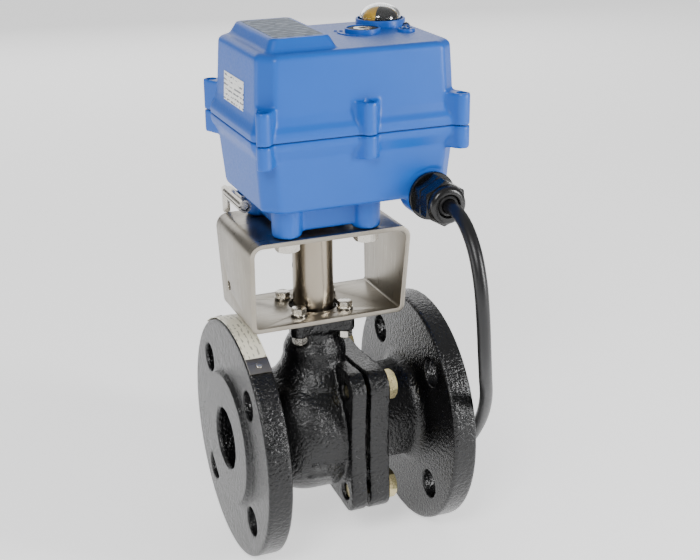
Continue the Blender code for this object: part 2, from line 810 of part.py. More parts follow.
def make_bracket_screws():
    seat = BRACKET_LOW + BRACKET_SHEET + GAP
    washer_top = seat + 1 * MM
    head_top = washer_top + 3.5 * MM
    nut_top = PAD_TOP - PAD_THICKNESS - GAP
    nut_low = nut_top - 4 * MM
    tip = nut_low - 2.6 * MM
    for index, (x, y) in enumerate(four_corners(PAD_BOLT_OFFSET), 1):
        x += STEM_X
        head = hexagon((x, y, washer_top - 0.4 * MM), (x, y, head_top), 8 * MM)
        washer = cylinder((x, y, seat), (x, y, washer_top), 5 * MM, sides=12)
        shank = cylinder((x, y, tip), (x, y, head_top - 1 * MM), PAD_BOLT_RADIUS, sides=8)
        finish(join(washer, head, shank), f"bracket_screw_{index}", "stainless")
        nut = hexagon((x, y, nut_low), (x, y, nut_top), 8 * MM)
        bore = drill((x, y, nut_low - 1 * MM), (x, y, nut_top + 1 * MM), PAD_BOLT_RADIUS + GAP, 8)
        finish(cut(nut, bore), f"bracket_nut_{index}", "stainless")


def make_actuator_bolts():
    head_top = BRACKET_HIGH - BRACKET_SHEET - GAP
    head_low = head_top - 5.3 * MM
    tip = FLOOR_LOW - 4 * MM
    for index, (x, y) in enumerate(four_corners(FOOT_BOLT_OFFSET), 1):
        x += STEM_X
        head = hexagon((x, y, head_low), (x, y, head_top), 13 * MM)
        shank = cylinder((x, y, head_low + 1 * MM), (x, y, tip), FOOT_BOLT_RADIUS, sides=12)
        finish(join(head, shank), f"actuator_bolt_{index}", "stainless")


def make_coupling():
    sleeve = cylinder(
        (STEM_X, 0, COUPLING_LOW), (STEM_X, 0, COUPLING_HIGH), COUPLING_RADIUS, sides=28
    )
    half = STEM_SQUARE / 2 + GAP
    cut(
        sleeve,
        box(
            (STEM_X - half, -half, COUPLING_LOW - 5 * MM),
            (STEM_X + half, half, COUPLING_LOW + SOCKET_DEPTH),
        ),
    )
    half = DRIVE_SQUARE / 2 + GAP
    cut(
        sleeve,
        box(
            (STEM_X - half, -half, COUPLING_HIGH - SOCKET_DEPTH),
            (STEM_X + half, half, COUPLING_HIGH + 5 * MM),
        ),
    )
    height = COUPLING_LOW + PIN_HOLE_HEIGHT
    angle = math.radians(PIN_HOLE_BEARING)
    x, y = 20 * MM * math.cos(angle), 20 * MM * math.sin(angle)
    start = (STEM_X + x * 0.3, y * 0.3, height)
    cut(sleeve, cylinder(start, (STEM_X + x, y, height), 1.7 * MM, sides=12))
    finish(sleeve, "coupling_sleeve", "stainless")


# Actuator housing.
def housing_ring(inset, height):
    """The housing's plan at one height: a rectangle with cut and softened corners."""
    half_x, half_y = HOUSING_HALF_X - inset, HOUSING_HALF_Y - inset
    chamfer = HOUSING_CORNER
    corners = [
        (half_x, -half_y + chamfer),
        (half_x, half_y - chamfer),
        (half_x - chamfer, half_y),
        (-half_x + chamfer, half_y),
        (-half_x, half_y - chamfer),
        (-half_x, -half_y + chamfer),
        (-half_x + chamfer, -half_y),
        (half_x - chamfer, -half_y),
    ]
    outline = rounded(corners, [HOUSING_EDGE] * 8, steps=1)
    return [(HOUSING_CENTRE_X + x, y, height) for x, y in outline]


def edge_rings(inset, height, direction):
    """Rings that round the housing's top or bottom edge. direction is 1 for the top."""
    rings = []
    for step in range(3):
        angle = math.radians(45 * step)
        inward = HOUSING_EDGE * (1 - math.cos(angle))
        rise = HOUSING_EDGE * (math.sin(angle) - 1)
        rings.append(housing_ring(inset + inward, height + direction * rise))
    return rings


def shell(skin):
    solid = skin.modifiers.new("Solidify", "SOLIDIFY")
    solid.thickness = HOUSING_WALL
    solid.offset = -1
    solid.use_even_offset = True
    solid.use_rim = True
    return skin


def boss_outline(x, side, inset):
    """A screw boss: a round nose on a web that spreads to the wall, or to the wall's cut corner."""
    y = side * BOSS_Y
    wall = side * (HOUSING_HALF_Y - inset - HOUSING_WALL / 2)
    left, right = x - BOSS_SPREAD, x + BOSS_SPREAD
    nose = arc((x, y), BOSS_RADIUS, side * 20, side * 160, 4)
    if x == BOSS_X[1]:
        feet = [(left, wall), (right, wall)]
    else:
        outward = -1 if x == BOSS_X[0] else 1
        edge = HOUSING_CENTRE_X + outward * (HOUSING_HALF_X - inset - HOUSING_WALL / 2)
        back = wall - side * HOUSING_CORNER
        front = x - outward * (BOSS_SPREAD + 1.6 * MM)
        feet = [(edge, back), (front, wall)]
        if outward > 0:
            feet.reverse()
    outline = nose + feet
    return outline if side > 0 else outline[::-1]


def boss_places():
    return [(x, side) for side in (-1, 1) for x in BOSS_X]


def screw_holes(low, high, radius):
    holes = []
    for x, side in boss_places():
        y = side * BOSS_Y
        holes.append(drill((x, y, low), (x, y, high), radius, 8))
    return holes


def make_base():
    """Floor, walls and belt in one casting, with the foot under it."""
    wall_inset = BELT_STEP
    floor_inset = BELT_STEP + BASE_DRAFT
    top = HOUSING_SPLIT - GASKET
    rings = edge_rings(floor_inset, FLOOR_LOW, -1)[::-1]
    rings += [
        housing_ring(wall_inset, BASE_BELT[0]),
        housing_ring(0.4 * MM, BASE_BELT[1]),
        housing_ring(0, BASE_BELT[2]),
        housing_ring(0, top),
    ]
    base = shell(loft(rings, open_end=True))
    floor_high = FLOOR_LOW + HOUSING_WALL
    half = FOOT_HALF
    corners = [(-half, -half), (half, -half), (half, half), (-half, half)]
    outline = [(STEM_X + x, y) for x, y in rounded(corners, [6 * MM] * 4)]
    join(base, plate([outline], FOOT_LOW + FOOT_ARCH, FLOOR_LOW + 1 * MM))
    for x, y in four_corners(FOOT_BOLT_OFFSET):
        pad = turned(
            [
                (0, FLOOR_LOW + 1 * MM),
                (FOOT_PAD_RADIUS, FLOOR_LOW + 1 * MM),
                (FOOT_PAD_RADIUS - 0.4 * MM, FOOT_LOW + 1.2 * MM),
                (FOOT_PAD_RADIUS - 1.6 * MM, FOOT_LOW),
                (0, FOOT_LOW),
            ],
            (STEM_X + x, y, 0),
            steps=16,
        )
        join(base, pad)
    for x, side in boss_places():
        join(base, plate([boss_outline(x, side, wall_inset)], BOSS_LOW, top))
    post_top = PLATE_LOW - GAP
    for x, y in plate_posts():
        post = cylinder((x, y, floor_high - 1 * MM), (x, y, post_top), 4 * MM, sides=12)
        join(base, post)
    gland = (GLAND_X, GLAND_Z)
    cut(base, along_y(gland, -80 * MM, GLAND_SEAT_Y, GLAND_RECESS_RADIUS, 24))
    join(base, along_y(gland, GLAND_SEAT_Y, -28 * MM, GLAND_BOSS_RADIUS, 20))
    thread = (GLAND_THREAD_RADIUS + GAP) / math.cos(math.pi / 18)
    cut(base, along_y(gland, -60 * MM, -20 * MM, thread, 18))
    bore = JOURNAL_RADIUS + RUNNING + BUSH_WALL + GAP
    cut(base, drill((STEM_X, 0, FOOT_LOW - 5 * MM), (STEM_X, 0, floor_high + 2 * MM), bore))
    for x, y in four_corners(FOOT_BOLT_OFFSET):
        low = (STEM_X + x, y, FOOT_LOW - 5 * MM)
        high = (STEM_X + x, y, FLOOR_LOW - 2 * MM)
        cut(base, drill(low, high, FOOT_BOLT_RADIUS + GAP, 12))
    cut(base, *screw_holes(BOSS_LOW - 3 * MM, HOUSING_SPLIT + 3 * MM, COVER_SCREW_RADIUS + GAP))
    finish(base, "actuator_base", "blue_paint")


def along_y(place, low, high, radius, sides):
    x, z = place
    return cylinder((x, low, z), (x, high, z), radius, sides=sides)


def plate_posts():
    """Where the posts under the gear plate stand."""
    left, right = HOUSING_CENTRE_X - 49 * MM, HOUSING_CENTRE_X + 49 * MM
    return [(left, -31 * MM), (left, 31 * MM), (right, 31 * MM), (HOUSING_CENTRE_X + 10 * MM, -33 * MM)]


def make_cover():
    wall_low = HOUSING_SPLIT + COVER_BELT[3]
    top_inset = BELT_STEP + COVER_DRAFT
    rings = [
        housing_ring(0, HOUSING_SPLIT),
        housing_ring(0, HOUSING_SPLIT + COVER_BELT[0]),
        housing_ring(0.5 * MM, HOUSING_SPLIT + COVER_BELT[1]),
        housing_ring(2.4 * MM, HOUSING_SPLIT + COVER_BELT[2]),
        housing_ring(BELT_STEP, wall_low),
    ]
    rings += edge_rings(top_inset, HOUSING_TOP, 1)
    cover = shell(loft(rings, open_start=True))
    for x, side in boss_places():
        join(cover, plate([boss_outline(x, side, BELT_STEP)], HOUSING_SPLIT, BOSS_HIGH))
    join(cover, label_pad(0))
    cut(cover, label_pad(HOUSING_WALL))
    for place, hole, seat, radius, height in cover_rings():
        top, below = HOUSING_TOP + height, HOUSING_TOP - 1 * MM
        profile = [
            (seat, top),
            (radius - 0.6 * MM, top),
            (radius, top - 0.6 * MM),
            (radius, HOUSING_TOP + TOP_RING_FOOT),
            (radius + TOP_RING_FOOT, HOUSING_TOP),
            (radius + TOP_RING_FOOT, below),
            (seat, below),
        ]
        join(cover, turned(profile, (*place, 0), steps=20, ring=True))
        low = HOUSING_TOP - HOUSING_WALL - 3 * MM
        cut(cover, drill((*place, low), (*place, top + 3 * MM), hole))
    cut(cover, *screw_holes(HOUSING_SPLIT - 3 * MM, BOSS_HIGH + 3 * MM, COVER_SCREW_RADIUS + GAP))
    cut(cover, *screw_holes(BOSS_HIGH - 9 * MM, BOSS_HIGH + 3 * MM, screw_head_radius() + GAP))
    finish(cover, "actuator_cover", "blue_paint")


def screw_head_radius():
    return COVER_SCREW_RADIUS * 1.5


def label_pad(inset):
    """The raised pad that carries the label, or the hollow under it when inset is a wall."""
    top_x, top_y = LABEL_PAD_HALF_X - inset, LABEL_PAD_HALF_Y - inset
    low = HOUSING_TOP - (1 * MM if inset == 0 else HOUSING_WALL + 1 * MM)
    slope = LABEL_PAD_SLOPE if inset == 0 else 0
    rings = []
    for grow, height in ((slope, low), (slope, HOUSING_TOP), (0, HOUSING_TOP + LABEL_PAD_HEIGHT)):
        half_x, half_y = top_x + grow, top_y + grow
        corners = [(half_x, -half_y), (half_x, half_y), (-half_x, half_y), (-half_x, -half_y)]
        outline = rounded(corners, [3.5 * MM] * 4, steps=1)
        rings.append([(LABEL_PAD_X + x, y, height - inset * (height > HOUSING_TOP)) for x, y in outline])
    return loft(rings)


def cover_rings():
    """Each ring on the cover's top: (place, hole radius, seat radius, outer radius, height)."""
    dome_hole = DOME_RADIUS - DOME_WALL + 0.4 * MM
    dome_seat = DOME_RADIUS + DOME_FLANGE + GAP
    override_hole = OVERRIDE_HEAD_RADIUS + RUNNING
    override_seat = OVERRIDE_SEAL_RADIUS + GAP
    lamp_hole = LAMP_RADIUS + GAP
    lamp_seat = LAMP_RADIUS + LAMP_FLANGE + GAP
    lamp = Vector((LAMP_X, LAMP_Y))
    return (
        (INDICATOR, dome_hole, dome_seat, DOME_RING_RADIUS, DOME_RING),
        (OVERRIDE, override_hole, override_seat, OVERRIDE_RING_RADIUS, OVERRIDE_RING),
        (lamp, lamp_hole, lamp_seat, LAMP_BOSS_RADIUS, LAMP_RING),
    )


def make_gasket():
    low, high = HOUSING_SPLIT - GASKET + GAP, HOUSING_SPLIT - GAP
    outer = housing_ring(0.6 * MM, 0)
    inner = housing_ring(HOUSING_WALL - 0.4 * MM, 0)
    outlines = [[(x, y) for x, y, _ in ring] for ring in (outer, inner)]
    gasket = plate(outlines, low, high)
    for x, side in boss_places():
        join(gasket, plate([boss_outline(x, side, BELT_STEP)], low, high))
    cut(gasket, *screw_holes(low - 3 * MM, high + 3 * MM, COVER_SCREW_RADIUS + GAP))
    finish(gasket, "cover_gasket", "rubber_black")


def make_cover_screws():
    seat = BOSS_HIGH - 9 * MM + GAP
    head_top = seat + 4 * MM
    tip = BOSS_LOW + 3 * MM
    for index, (x, side) in enumerate(boss_places(), 1):
        y = side * BOSS_Y
        head = cylinder((x, y, seat), (x, y, head_top), screw_head_radius(), sides=10)
        join(head, cylinder((x, y, tip), (x, y, seat + 1 * MM), COVER_SCREW_RADIUS, sides=6))
        cut(head, hexagon((x, y, head_top - 2 * MM), (x, y, head_top + 2 * MM), 3 * MM))
        finish(head, f"cover_screw_{index}", "stainless")


# Top of the cover: the indicator, the override and the lamp.
def dome_curve(radius, rise, steps):
    """Points down a flattened dome whose spring line is at height 0."""
    return [(x, z * rise / radius) for z, x in arc((0, 0), radius, 0, 90, steps)]


def make_dome():
    """A clear cap over the indicator, with a flange in the cover's ring."""
    seat = HOUSING_TOP + GAP
    spring = HOUSING_TOP + DOME_SKIRT
    flange, flange_top = DOME_RADIUS + DOME_FLANGE, seat + 1.5 * MM
    reach = DOME_RADIUS - DOME_WALL
    outer = [(x, spring + z) for x, z in dome_curve(DOME_RADIUS, DOME_HEIGHT, 4)]
    inner = [(x, spring + z) for x, z in dome_curve(reach, DOME_HEIGHT - DOME_WALL, 4)]
    profile = outer + [(DOME_RADIUS, flange_top), (flange, flange_top), (flange, seat), (reach, seat)]
    profile += inner[::-1]
    finish(turned(profile, (*INDICATOR, 0), steps=20), "indicator_dome", "clear_plastic")


def make_indicator():
    """The coloured rotor under the dome, and its shaft down to the gear plate."""
    base, spring = HOUSING_TOP + 1 * MM, HOUSING_TOP + DOME_SKIRT
    reach = DOME_RADIUS - DOME_WALL - 0.8 * MM
    rise = DOME_HEIGHT - DOME_WALL - 1 * MM
    rotor = [(x, spring + z) for x, z in dome_curve(reach, rise, 4)]
    profile = rotor + [
        (reach, base),
        (INDICATOR_RADIUS, base),
        (INDICATOR_RADIUS, UPPER_LOW - GAP),
        (INDICATOR_RADIUS + 2 * MM, UPPER_LOW - GAP),
        (INDICATOR_RADIUS + 2 * MM, UPPER_LOW - 3 * MM),
        (INDICATOR_RADIUS, UPPER_LOW - 3 * MM),
        (INDICATOR_RADIUS, PLATE_LOW - 2 * MM),
        (0, PLATE_LOW - 2 * MM),
    ]
    finish(turned(profile, (*INDICATOR, 0), steps=20), "position_indicator", "indicator_yellow")


def make_override():
    """The shaft that the key turns, with the pinion that drives the indicator."""
    top = HOUSING_TOP + OVERRIDE_RING - 0.3 * MM
    head_low = HOUSING_TOP - HOUSING_WALL - 6 * MM
    profile = [
        (0, top),
        (OVERRIDE_HEAD_RADIUS, top),
        (OVERRIDE_HEAD_RADIUS, head_low),
        (OVERRIDE_RADIUS, head_low),
        (OVERRIDE_RADIUS, FLOOR_LOW + HOUSING_WALL + GAP),
        (0, FLOOR_LOW + HOUSING_WALL + GAP),
    ]
    shaft = turned(profile, (*OVERRIDE, 0), steps=FEW_STEPS)
    contact = INDICATOR_BEARING
    outline = gear_outline(UPPER_MODULE, PINION_TEETH, contact)
    pinion = plate([outline], UPPER_LOW, UPPER_LOW + UPPER_WIDTH, place=(*OVERRIDE, 0))
    join(shaft, pinion)
    low = (*OVERRIDE, top - 6 * MM)
    high = (*OVERRIDE, top + 2 * MM)
    cut(shaft, hexagon(low, high, KEY_FLATS + 2 * GAP))
    finish(shaft, "override_shaft", "stainless")


def make_override_seal():
    low, high = HOUSING_TOP + GAP, HOUSING_TOP + OVERRIDE_RING - 0.6 * MM
    inner = OVERRIDE_HEAD_RADIUS + RUNNING
    profile = [
        (OVERRIDE_SEAL_RADIUS, high),
        (OVERRIDE_SEAL_RADIUS, low),
        (inner, low),
        (inner, high),
    ]
    seal = turned(profile, (*OVERRIDE, 0), steps=24, ring=True)
    finish(seal, "override_seal", "rubber_black")


def make_lamp():
    seat = HOUSING_TOP + GAP
    profile = [(x, seat + 2.4 * MM + z) for x, z in dome_curve(LAMP_RADIUS, LAMP_RADIUS, 3)]
    profile += [
        (LAMP_RADIUS, seat + 1 * MM),
        (LAMP_RADIUS + LAMP_FLANGE, seat + 1 * MM),
        (LAMP_RADIUS + LAMP_FLANGE, seat),
        (LAMP_RADIUS, seat),
        (LAMP_RADIUS, HOUSING_TOP - 8 * MM),
        (0, HOUSING_TOP - 8 * MM),
    ]
    finish(turned(profile, (LAMP_X, LAMP_Y, 0), steps=12), "status_lamp", "clear_plastic")


# Gear train.
def gear_outline(module, teeth, contact, tooth_at_contact=True):
    """A spur gear's outline. A tooth, or a space, points along the angle contact in degrees."""
    radius = module * teeth / 2
    pitch = 2 * math.pi / teeth
    first = math.radians(contact) + (0 if tooth_at_contact else pitch / 2)
    outline = []
    for index in range(teeth):
        middle = first + pitch * index
        flank = (
            (-0.30, radius - 1.15 * module),
            (-0.13, radius + 0.85 * module),
            (0.13, radius + 0.85 * module),
            (0.30, radius - 1.15 * module),
        )
        for share, reach in flank:
            angle = middle + share * pitch
            outline.append((reach * math.cos(angle), reach * math.sin(angle)))
    return outline


def bored(obj, place, low, high, radius):
    return cut(obj, drill((*place, low - 2 * MM), (*place, high + 2 * MM), radius, 12))


def make_output_gear():
    low, high = GEAR_LOW, GEAR_LOW + GEAR_WIDTH
    outline = gear_outline(LOWER_MODULE, GEAR_TEETH, OVERRIDE_BEARING)
    gear = plate([outline], low, high, place=(*STEM, 0))
    finish(bored(gear, STEM, low, high, OUTPUT_RADIUS + GAP), "output_gear", "gear_steel")


def make_override_gear():
    """A cluster: the pinion on the output gear, and the wheel that the motor turns."""
    low, high = GEAR_LOW, GEAR_LOW + GEAR_WIDTH
    outline = gear_outline(LOWER_MODULE, PINION_TEETH, OVERRIDE_BEARING + 180, False)
    gear = plate([outline], low, high, place=(*OVERRIDE, 0))
    wheel_high = WHEEL_LOW + WHEEL_WIDTH
    outline = gear_outline(MOTOR_MODULE, WHEEL_TEETH, MOTOR_BEARING)
    wheel = plate([outline], WHEEL_LOW, wheel_high, place=(*OVERRIDE, 0))
    hub = cylinder(
        (*OVERRIDE, high - 1 * MM), (*OVERRIDE, WHEEL_LOW + 1 * MM), 8 * MM, sides=12
    )
    join(gear, hub, wheel)
    bored(gear, OVERRIDE, low, wheel_high, OVERRIDE_RADIUS + GAP)
    finish(gear, "override_gear", "gear_steel")


def make_indicator_gear():
    low, high = UPPER_LOW, UPPER_LOW + UPPER_WIDTH
    outline = gear_outline(UPPER_MODULE, GEAR_TEETH, INDICATOR_BEARING + 180, False)
    gear = plate([outline], low, high, place=(*INDICATOR, 0))
    finish(bored(gear, INDICATOR, low, high, INDICATOR_RADIUS + GAP), "indicator_gear", "gear_steel")


def make_motor_pinion():
    low, high = WHEEL_LOW, WHEEL_LOW + WHEEL_WIDTH
    outline = gear_outline(MOTOR_MODULE, MOTOR_TEETH, MOTOR_BEARING + 180, False)
    pinion = plate([outline], low, high, place=(*MOTOR, 0))
    shaft = cylinder(
        (*MOTOR, low - 1 * MM), (*MOTOR, PLATE_LOW + 14 * MM), MOTOR_SHAFT_RADIUS, sides=16
    )
    finish(join(pinion, shaft), "motor_pinion", "gear_steel")


def make_gear_motor():
    low = PLATE_LOW + PLATE_SHEET + GAP
    profile = [
        (0, low + 40 * MM),
        (5 * MM, low + 40 * MM),
        (5 * MM, low + 37 * MM),
        (MOTOR_RADIUS - 1 * MM, low + 37 * MM),
        (MOTOR_RADIUS, low + 36 * MM),
        (MOTOR_RADIUS, low + 14 * MM),
        (MOTOR_RADIUS - 1 * MM, low + 13 * MM),
        (MOTOR_RADIUS - 1 * MM, low),
        (0, low),
    ]
    motor = turned(profile, (*MOTOR, 0), steps=FEW_STEPS)
    terminal = box(
        (MOTOR.x - 5 * MM, MOTOR.y - MOTOR_RADIUS - 3 * MM, low + 20 * MM),
        (MOTOR.x + 5 * MM, MOTOR.y - MOTOR_RADIUS + 3 * MM, low + 28 * MM),
    )
    join(motor, terminal)
    high = PLATE_LOW + 16 * MM
    cut(motor, drill((*MOTOR, low - 2 * MM), (*MOTOR, high), MOTOR_SHAFT_RADIUS + RUNNING, 12))
    finish(motor, "gear_motor", "gear_steel")


def make_output_shaft():
    half = DRIVE_SQUARE / 2
    square_low = COUPLING_HIGH - SOCKET_DEPTH + 2 * MM
    floor_high = FLOOR_LOW + HOUSING_WALL
    collar = JOURNAL_RADIUS + 2 * MM
    profile = [
        (0, 200 * MM),
        (OUTPUT_RADIUS, 200 * MM),
        (OUTPUT_RADIUS, GEAR_LOW - GAP),
        (collar, GEAR_LOW - GAP),
        (collar, floor_high + GAP),
        (JOURNAL_RADIUS, floor_high + GAP),
        (JOURNAL_RADIUS, FOOT_LOW + 1 * MM),
        (0, FOOT_LOW + 1 * MM),
    ]
    shaft = turned(profile, (*STEM, 0), steps=24)
    square = box(
        (STEM_X - half, -half, square_low), (STEM_X + half, half, FOOT_LOW + 3 * MM)
    )
    finish(join(shaft, square), "output_shaft", "gear_steel")


def make_output_bush():
    inner = JOURNAL_RADIUS + RUNNING
    outer = inner + BUSH_WALL
    low, high = FOOT_LOW + 1 * MM, FLOOR_LOW + HOUSING_WALL - GAP
    profile = [(outer, high), (outer, low), (inner, low), (inner, high)]
    finish(turned(profile, (*STEM, 0), steps=24, ring=True), "output_bush", "bronze")


def make_gear_plate():
    """The steel plate that carries the motor and the switches over the gears."""
    half_x = HOUSING_HALF_X - BELT_STEP - HOUSING_WALL - 4 * MM
    half_y = HOUSING_HALF_Y - BELT_STEP - HOUSING_WALL - 4 * MM
    corners = [(-half_x, -half_y), (half_x, -half_y), (half_x, half_y), (-half_x, half_y)]
    outline = [(HOUSING_CENTRE_X + x, y) for x, y in rounded(corners, [6 * MM] * 4)]
    low, high = PLATE_LOW, PLATE_LOW + PLATE_SHEET
    deck = plate([outline], low, high)
    bored(deck, STEM, low, high, OUTPUT_RADIUS + 0.6 * MM)
    bored(deck, OVERRIDE, low, high, OVERRIDE_RADIUS + RUNNING)
    bored(deck, INDICATOR, low, high, INDICATOR_RADIUS + RUNNING)
    bored(deck, MOTOR, low, high, MOTOR_SHAFT_RADIUS + 3.4 * MM)
    finish(deck, "gear_plate", "gear_steel")


def make_limit_cams():
    """Two lobed discs on one hub: one for each end of the stroke."""
    low, high = CAM_LOW, CAM_HIGH
    cams = cylinder((*STEM, low), (*STEM, high), OUTPUT_RADIUS + 2 * MM)
    for cam_low, turn in zip(CAM_PLACES, (170, 80)):
        outline = arc((0, 0), CAM_LOBE, turn, turn + 60, 3)
        outline += arc((0, 0), CAM_RADIUS, turn + 75, turn + 345, 9)
        join(cams, plate([outline], cam_low, cam_low + CAM_WIDTH, place=(*STEM, 0)))
    finish(bored(cams, STEM, low, high, OUTPUT_RADIUS + GAP), "limit_cams", "switch_plastic")


def make_switch_block():
    low = PLATE_LOW + PLATE_SHEET + GAP
    right = STEM_X - CAM_LOBE - 1 * MM
    left = right - 14 * MM
    block = box((left, -11 * MM, low), (right - 3 * MM, 11 * MM, low + 20 * MM))
    for button_low in CAM_PLACES:
        middle = button_low + CAM_WIDTH / 2
        button = box(
            (right - 4 * MM, -2 * MM, middle - 1 * MM), (right, 2 * MM, middle + 1 * MM)
        )
        join(block, button)
    finish(block, "limit_switch_block", "switch_plastic")


def make_circuit_board():
    """The board stands along the back wall, with a relay, a capacitor and a terminal block."""
    low = PLATE_LOW + PLATE_SHEET + GAP
    left, right = HOUSING_CENTRE_X - 48 * MM, HOUSING_CENTRE_X + 20 * MM
    front = 31 * MM
    board = box((left, front, low), (right, front + 1.6 * MM, low + 44 * MM))
    fitted = (
        ((left + 4 * MM, 20 * MM, 12 * MM), (16 * MM, 14 * MM)),
        ((left + 28 * MM, 24 * MM, 6 * MM), (30 * MM, 11 * MM)),
    )
    for (x, y, rise), (width, height) in fitted:
        join(board, box((x, y, low + rise), (x + width, front + 1 * MM, low + rise + height)))
    can = (left + 34 * MM, low + 30 * MM)
    join(board, along_y(can, 21 * MM, front + 1 * MM, 6 * MM, 20))
    finish(board, "circuit_board", "board_green")


# Cable gland, cable and key.
def gland_profile(outer_points, inner_points):
    """A ring about the gland's axis. Distances are counted outwards from its seat."""
    return turned(
        outer_points + inner_points, (GLAND_X, GLAND_SEAT_Y, GLAND_Z), along="Y", steps=20, ring=True
    )


def make_gland():
    bore = CABLE_DIAMETER / 2 + 2.4 * MM
    washer = 3 * MM
    hex_end = 11 * MM
    thread_end = 18 * MM
    body = gland_profile(
        [
            (GLAND_THREAD_RADIUS, 14 * MM),
            (GLAND_THREAD_RADIUS, -GAP),
            (GLAND_FLANGE_RADIUS, -GAP),
            (GLAND_FLANGE_RADIUS, -washer),
            (GLAND_THREAD_RADIUS - 0.4 * MM, -washer),
            (GLAND_THREAD_RADIUS - 0.4 * MM, -thread_end),
        ],
        [(bore, -thread_end), (bore, 14 * MM)],
    )
    front = GLAND_SEAT_Y - washer + 0.5 * MM
    back = GLAND_SEAT_Y - hex_end
    nut = hexagon((GLAND_X, front, GLAND_Z), (GLAND_X, back, GLAND_Z), GLAND_FLATS)
    cut(nut, along_y((GLAND_X, GLAND_Z), front - 20 * MM, front + 5 * MM, bore + 1 * MM, 28))
    join(body, nut)
    finish(body, "cable_gland_body", "black_nylon")
    cap_low, cap_high = hex_end + 0.5 * MM, GLAND_LENGTH
    flats_end = cap_low + 8.5 * MM
    round_radius = GLAND_FLATS / 2 - 0.6 * MM
    cap = hexagon(
        (GLAND_X, GLAND_SEAT_Y - flats_end, GLAND_Z),
        (GLAND_X, GLAND_SEAT_Y - cap_low, GLAND_Z),
        GLAND_FLATS,
    )
    nose = gland_profile(
        [
            (round_radius, -flats_end + 1 * MM),
            (round_radius, -cap_high + 2.5 * MM),
            (round_radius - 0.8 * MM, -cap_high + 0.8 * MM),
            (round_radius - 2.6 * MM, -cap_high),
        ],
        [(bore + 0.4 * MM, -cap_high), (bore + 0.4 * MM, -flats_end + 1 * MM)],
    )
    face = GLAND_SEAT_Y - cap_high
    cut(cap, along_y((GLAND_X, GLAND_Z), face - 1 * MM, GLAND_SEAT_Y, bore + 0.4 * MM, 28))
    join(cap, nose)
    inside = (GLAND_X, GLAND_Z)
    recess = GLAND_THREAD_RADIUS - 0.4 * MM + GAP
    cut(cap, along_y(inside, GLAND_SEAT_Y - thread_end - GAP, GLAND_SEAT_Y, recess, 28))
    finish(cap, "cable_gland_nut", "black_nylon")
    inner, outer = CABLE_DIAMETER / 2 + GAP, bore - GAP
    seal = gland_profile(
        [
            (outer, -12 * MM),
            (outer, -cap_high + 1.6 * MM),
            (outer - 0.8 * MM, -cap_high + 0.8 * MM),
            (inner, -cap_high + 0.8 * MM),
        ],
        [(inner, -12 * MM)],
    )
    finish(seal, "gland_seal", "rubber_black")


def smooth_route(points, spacing):
    """Points about one spacing apart on a Catmull-Rom curve through the route."""
    ends = [points[0] * 2 - points[1]] + points + [points[-1] * 2 - points[-2]]
    found = []
    for before, start, end, after in zip(ends, ends[1:], ends[2:], ends[3:]):
        count = max(1, round((end - start).length / spacing))
        for step in range(count):
            t = step / count
            found.append(
                0.5
                * (
                    2 * start
                    + (end - before) * t
                    + (2 * before - 5 * start + 4 * end - after) * t**2
                    + (3 * start - before - 3 * end + after) * t**3
                )
            )
    return found + [points[-1]]


def make_cable():
    route = [Vector(point) * MM for point in CABLE_ROUTE]
    points = smooth_route(route, 15 * MM)
    curve = bpy.data.curves.new("cable", "CURVE")
    curve.dimensions = "3D"
    curve.bevel_depth = CABLE_DIAMETER / 2
    curve.bevel_resolution = 2
    curve.use_fill_caps = True
    spline = curve.splines.new("POLY")
    spline.points.add(len(points) - 1)
    for place, point in zip(spline.points, points):
        place.co = (*point, 1)
    finish(helper("cable", curve), "power_cable", "rubber_black")
    inner, outer = COIL_RADIUS - CABLE_DIAMETER / 2, COIL_RADIUS + CABLE_DIAMETER / 2
    low, high = SURFACE_Z, SURFACE_Z + COIL_LAYERS * CABLE_DIAMETER
    profile = [(outer, high), (outer, low), (inner, low), (inner, high)]
    coil = turned(profile, (COIL_X, COIL_Y, 0), steps=24, ring=True)
    finish(coil, "cable_coil", "rubber_black")


def make_key():
    """An L-shaped hexagon key for the override. Its long leg lies in a slit tube under the base."""
    back = KEY_FRONT_Y + KEY_LENGTH
    long_leg = hexagon((KEY_X, KEY_FRONT_Y, KEY_Z), (KEY_X, back, KEY_Z), KEY_FLATS)
    middle = back - KEY_FLATS / 2
    short_leg = hexagon((KEY_X, middle, KEY_Z), (KEY_X, middle, KEY_Z - KEY_SHORT), KEY_FLATS)
    finish(join(long_leg, short_leg), "hex_key", "stainless")
    inner = KEY_FLATS / math.sqrt(3) + RUNNING
    outer = inner + CLIP_WALL
    clip = turned(
        [(outer, CLIP_LENGTH), (outer, 0), (inner, 0), (inner, CLIP_LENGTH)],
        (KEY_X, KEY_FRONT_Y - 1 * MM, KEY_Z),
        along="Y",
        steps=16,
        ring=True,
    )
    tab = box(
        (KEY_X - 1 * MM, KEY_FRONT_Y + 3 * MM, KEY_Z + inner + CLIP_WALL / 2),
        (KEY_X + 5 * MM, KEY_FRONT_Y + 15 * MM, FLOOR_LOW - GAP),
    )
    slit = box(
        (KEY_X - outer - 1 * MM, KEY_FRONT_Y - 5 * MM, KEY_Z - CLIP_SLOT / 2),
        (KEY_X - inner / 2, KEY_FRONT_Y + CLIP_LENGTH + 5 * MM, KEY_Z + CLIP_SLOT / 2),
    )
    finish(cut(join(clip, tab), slit), "key_clip", "stainless")


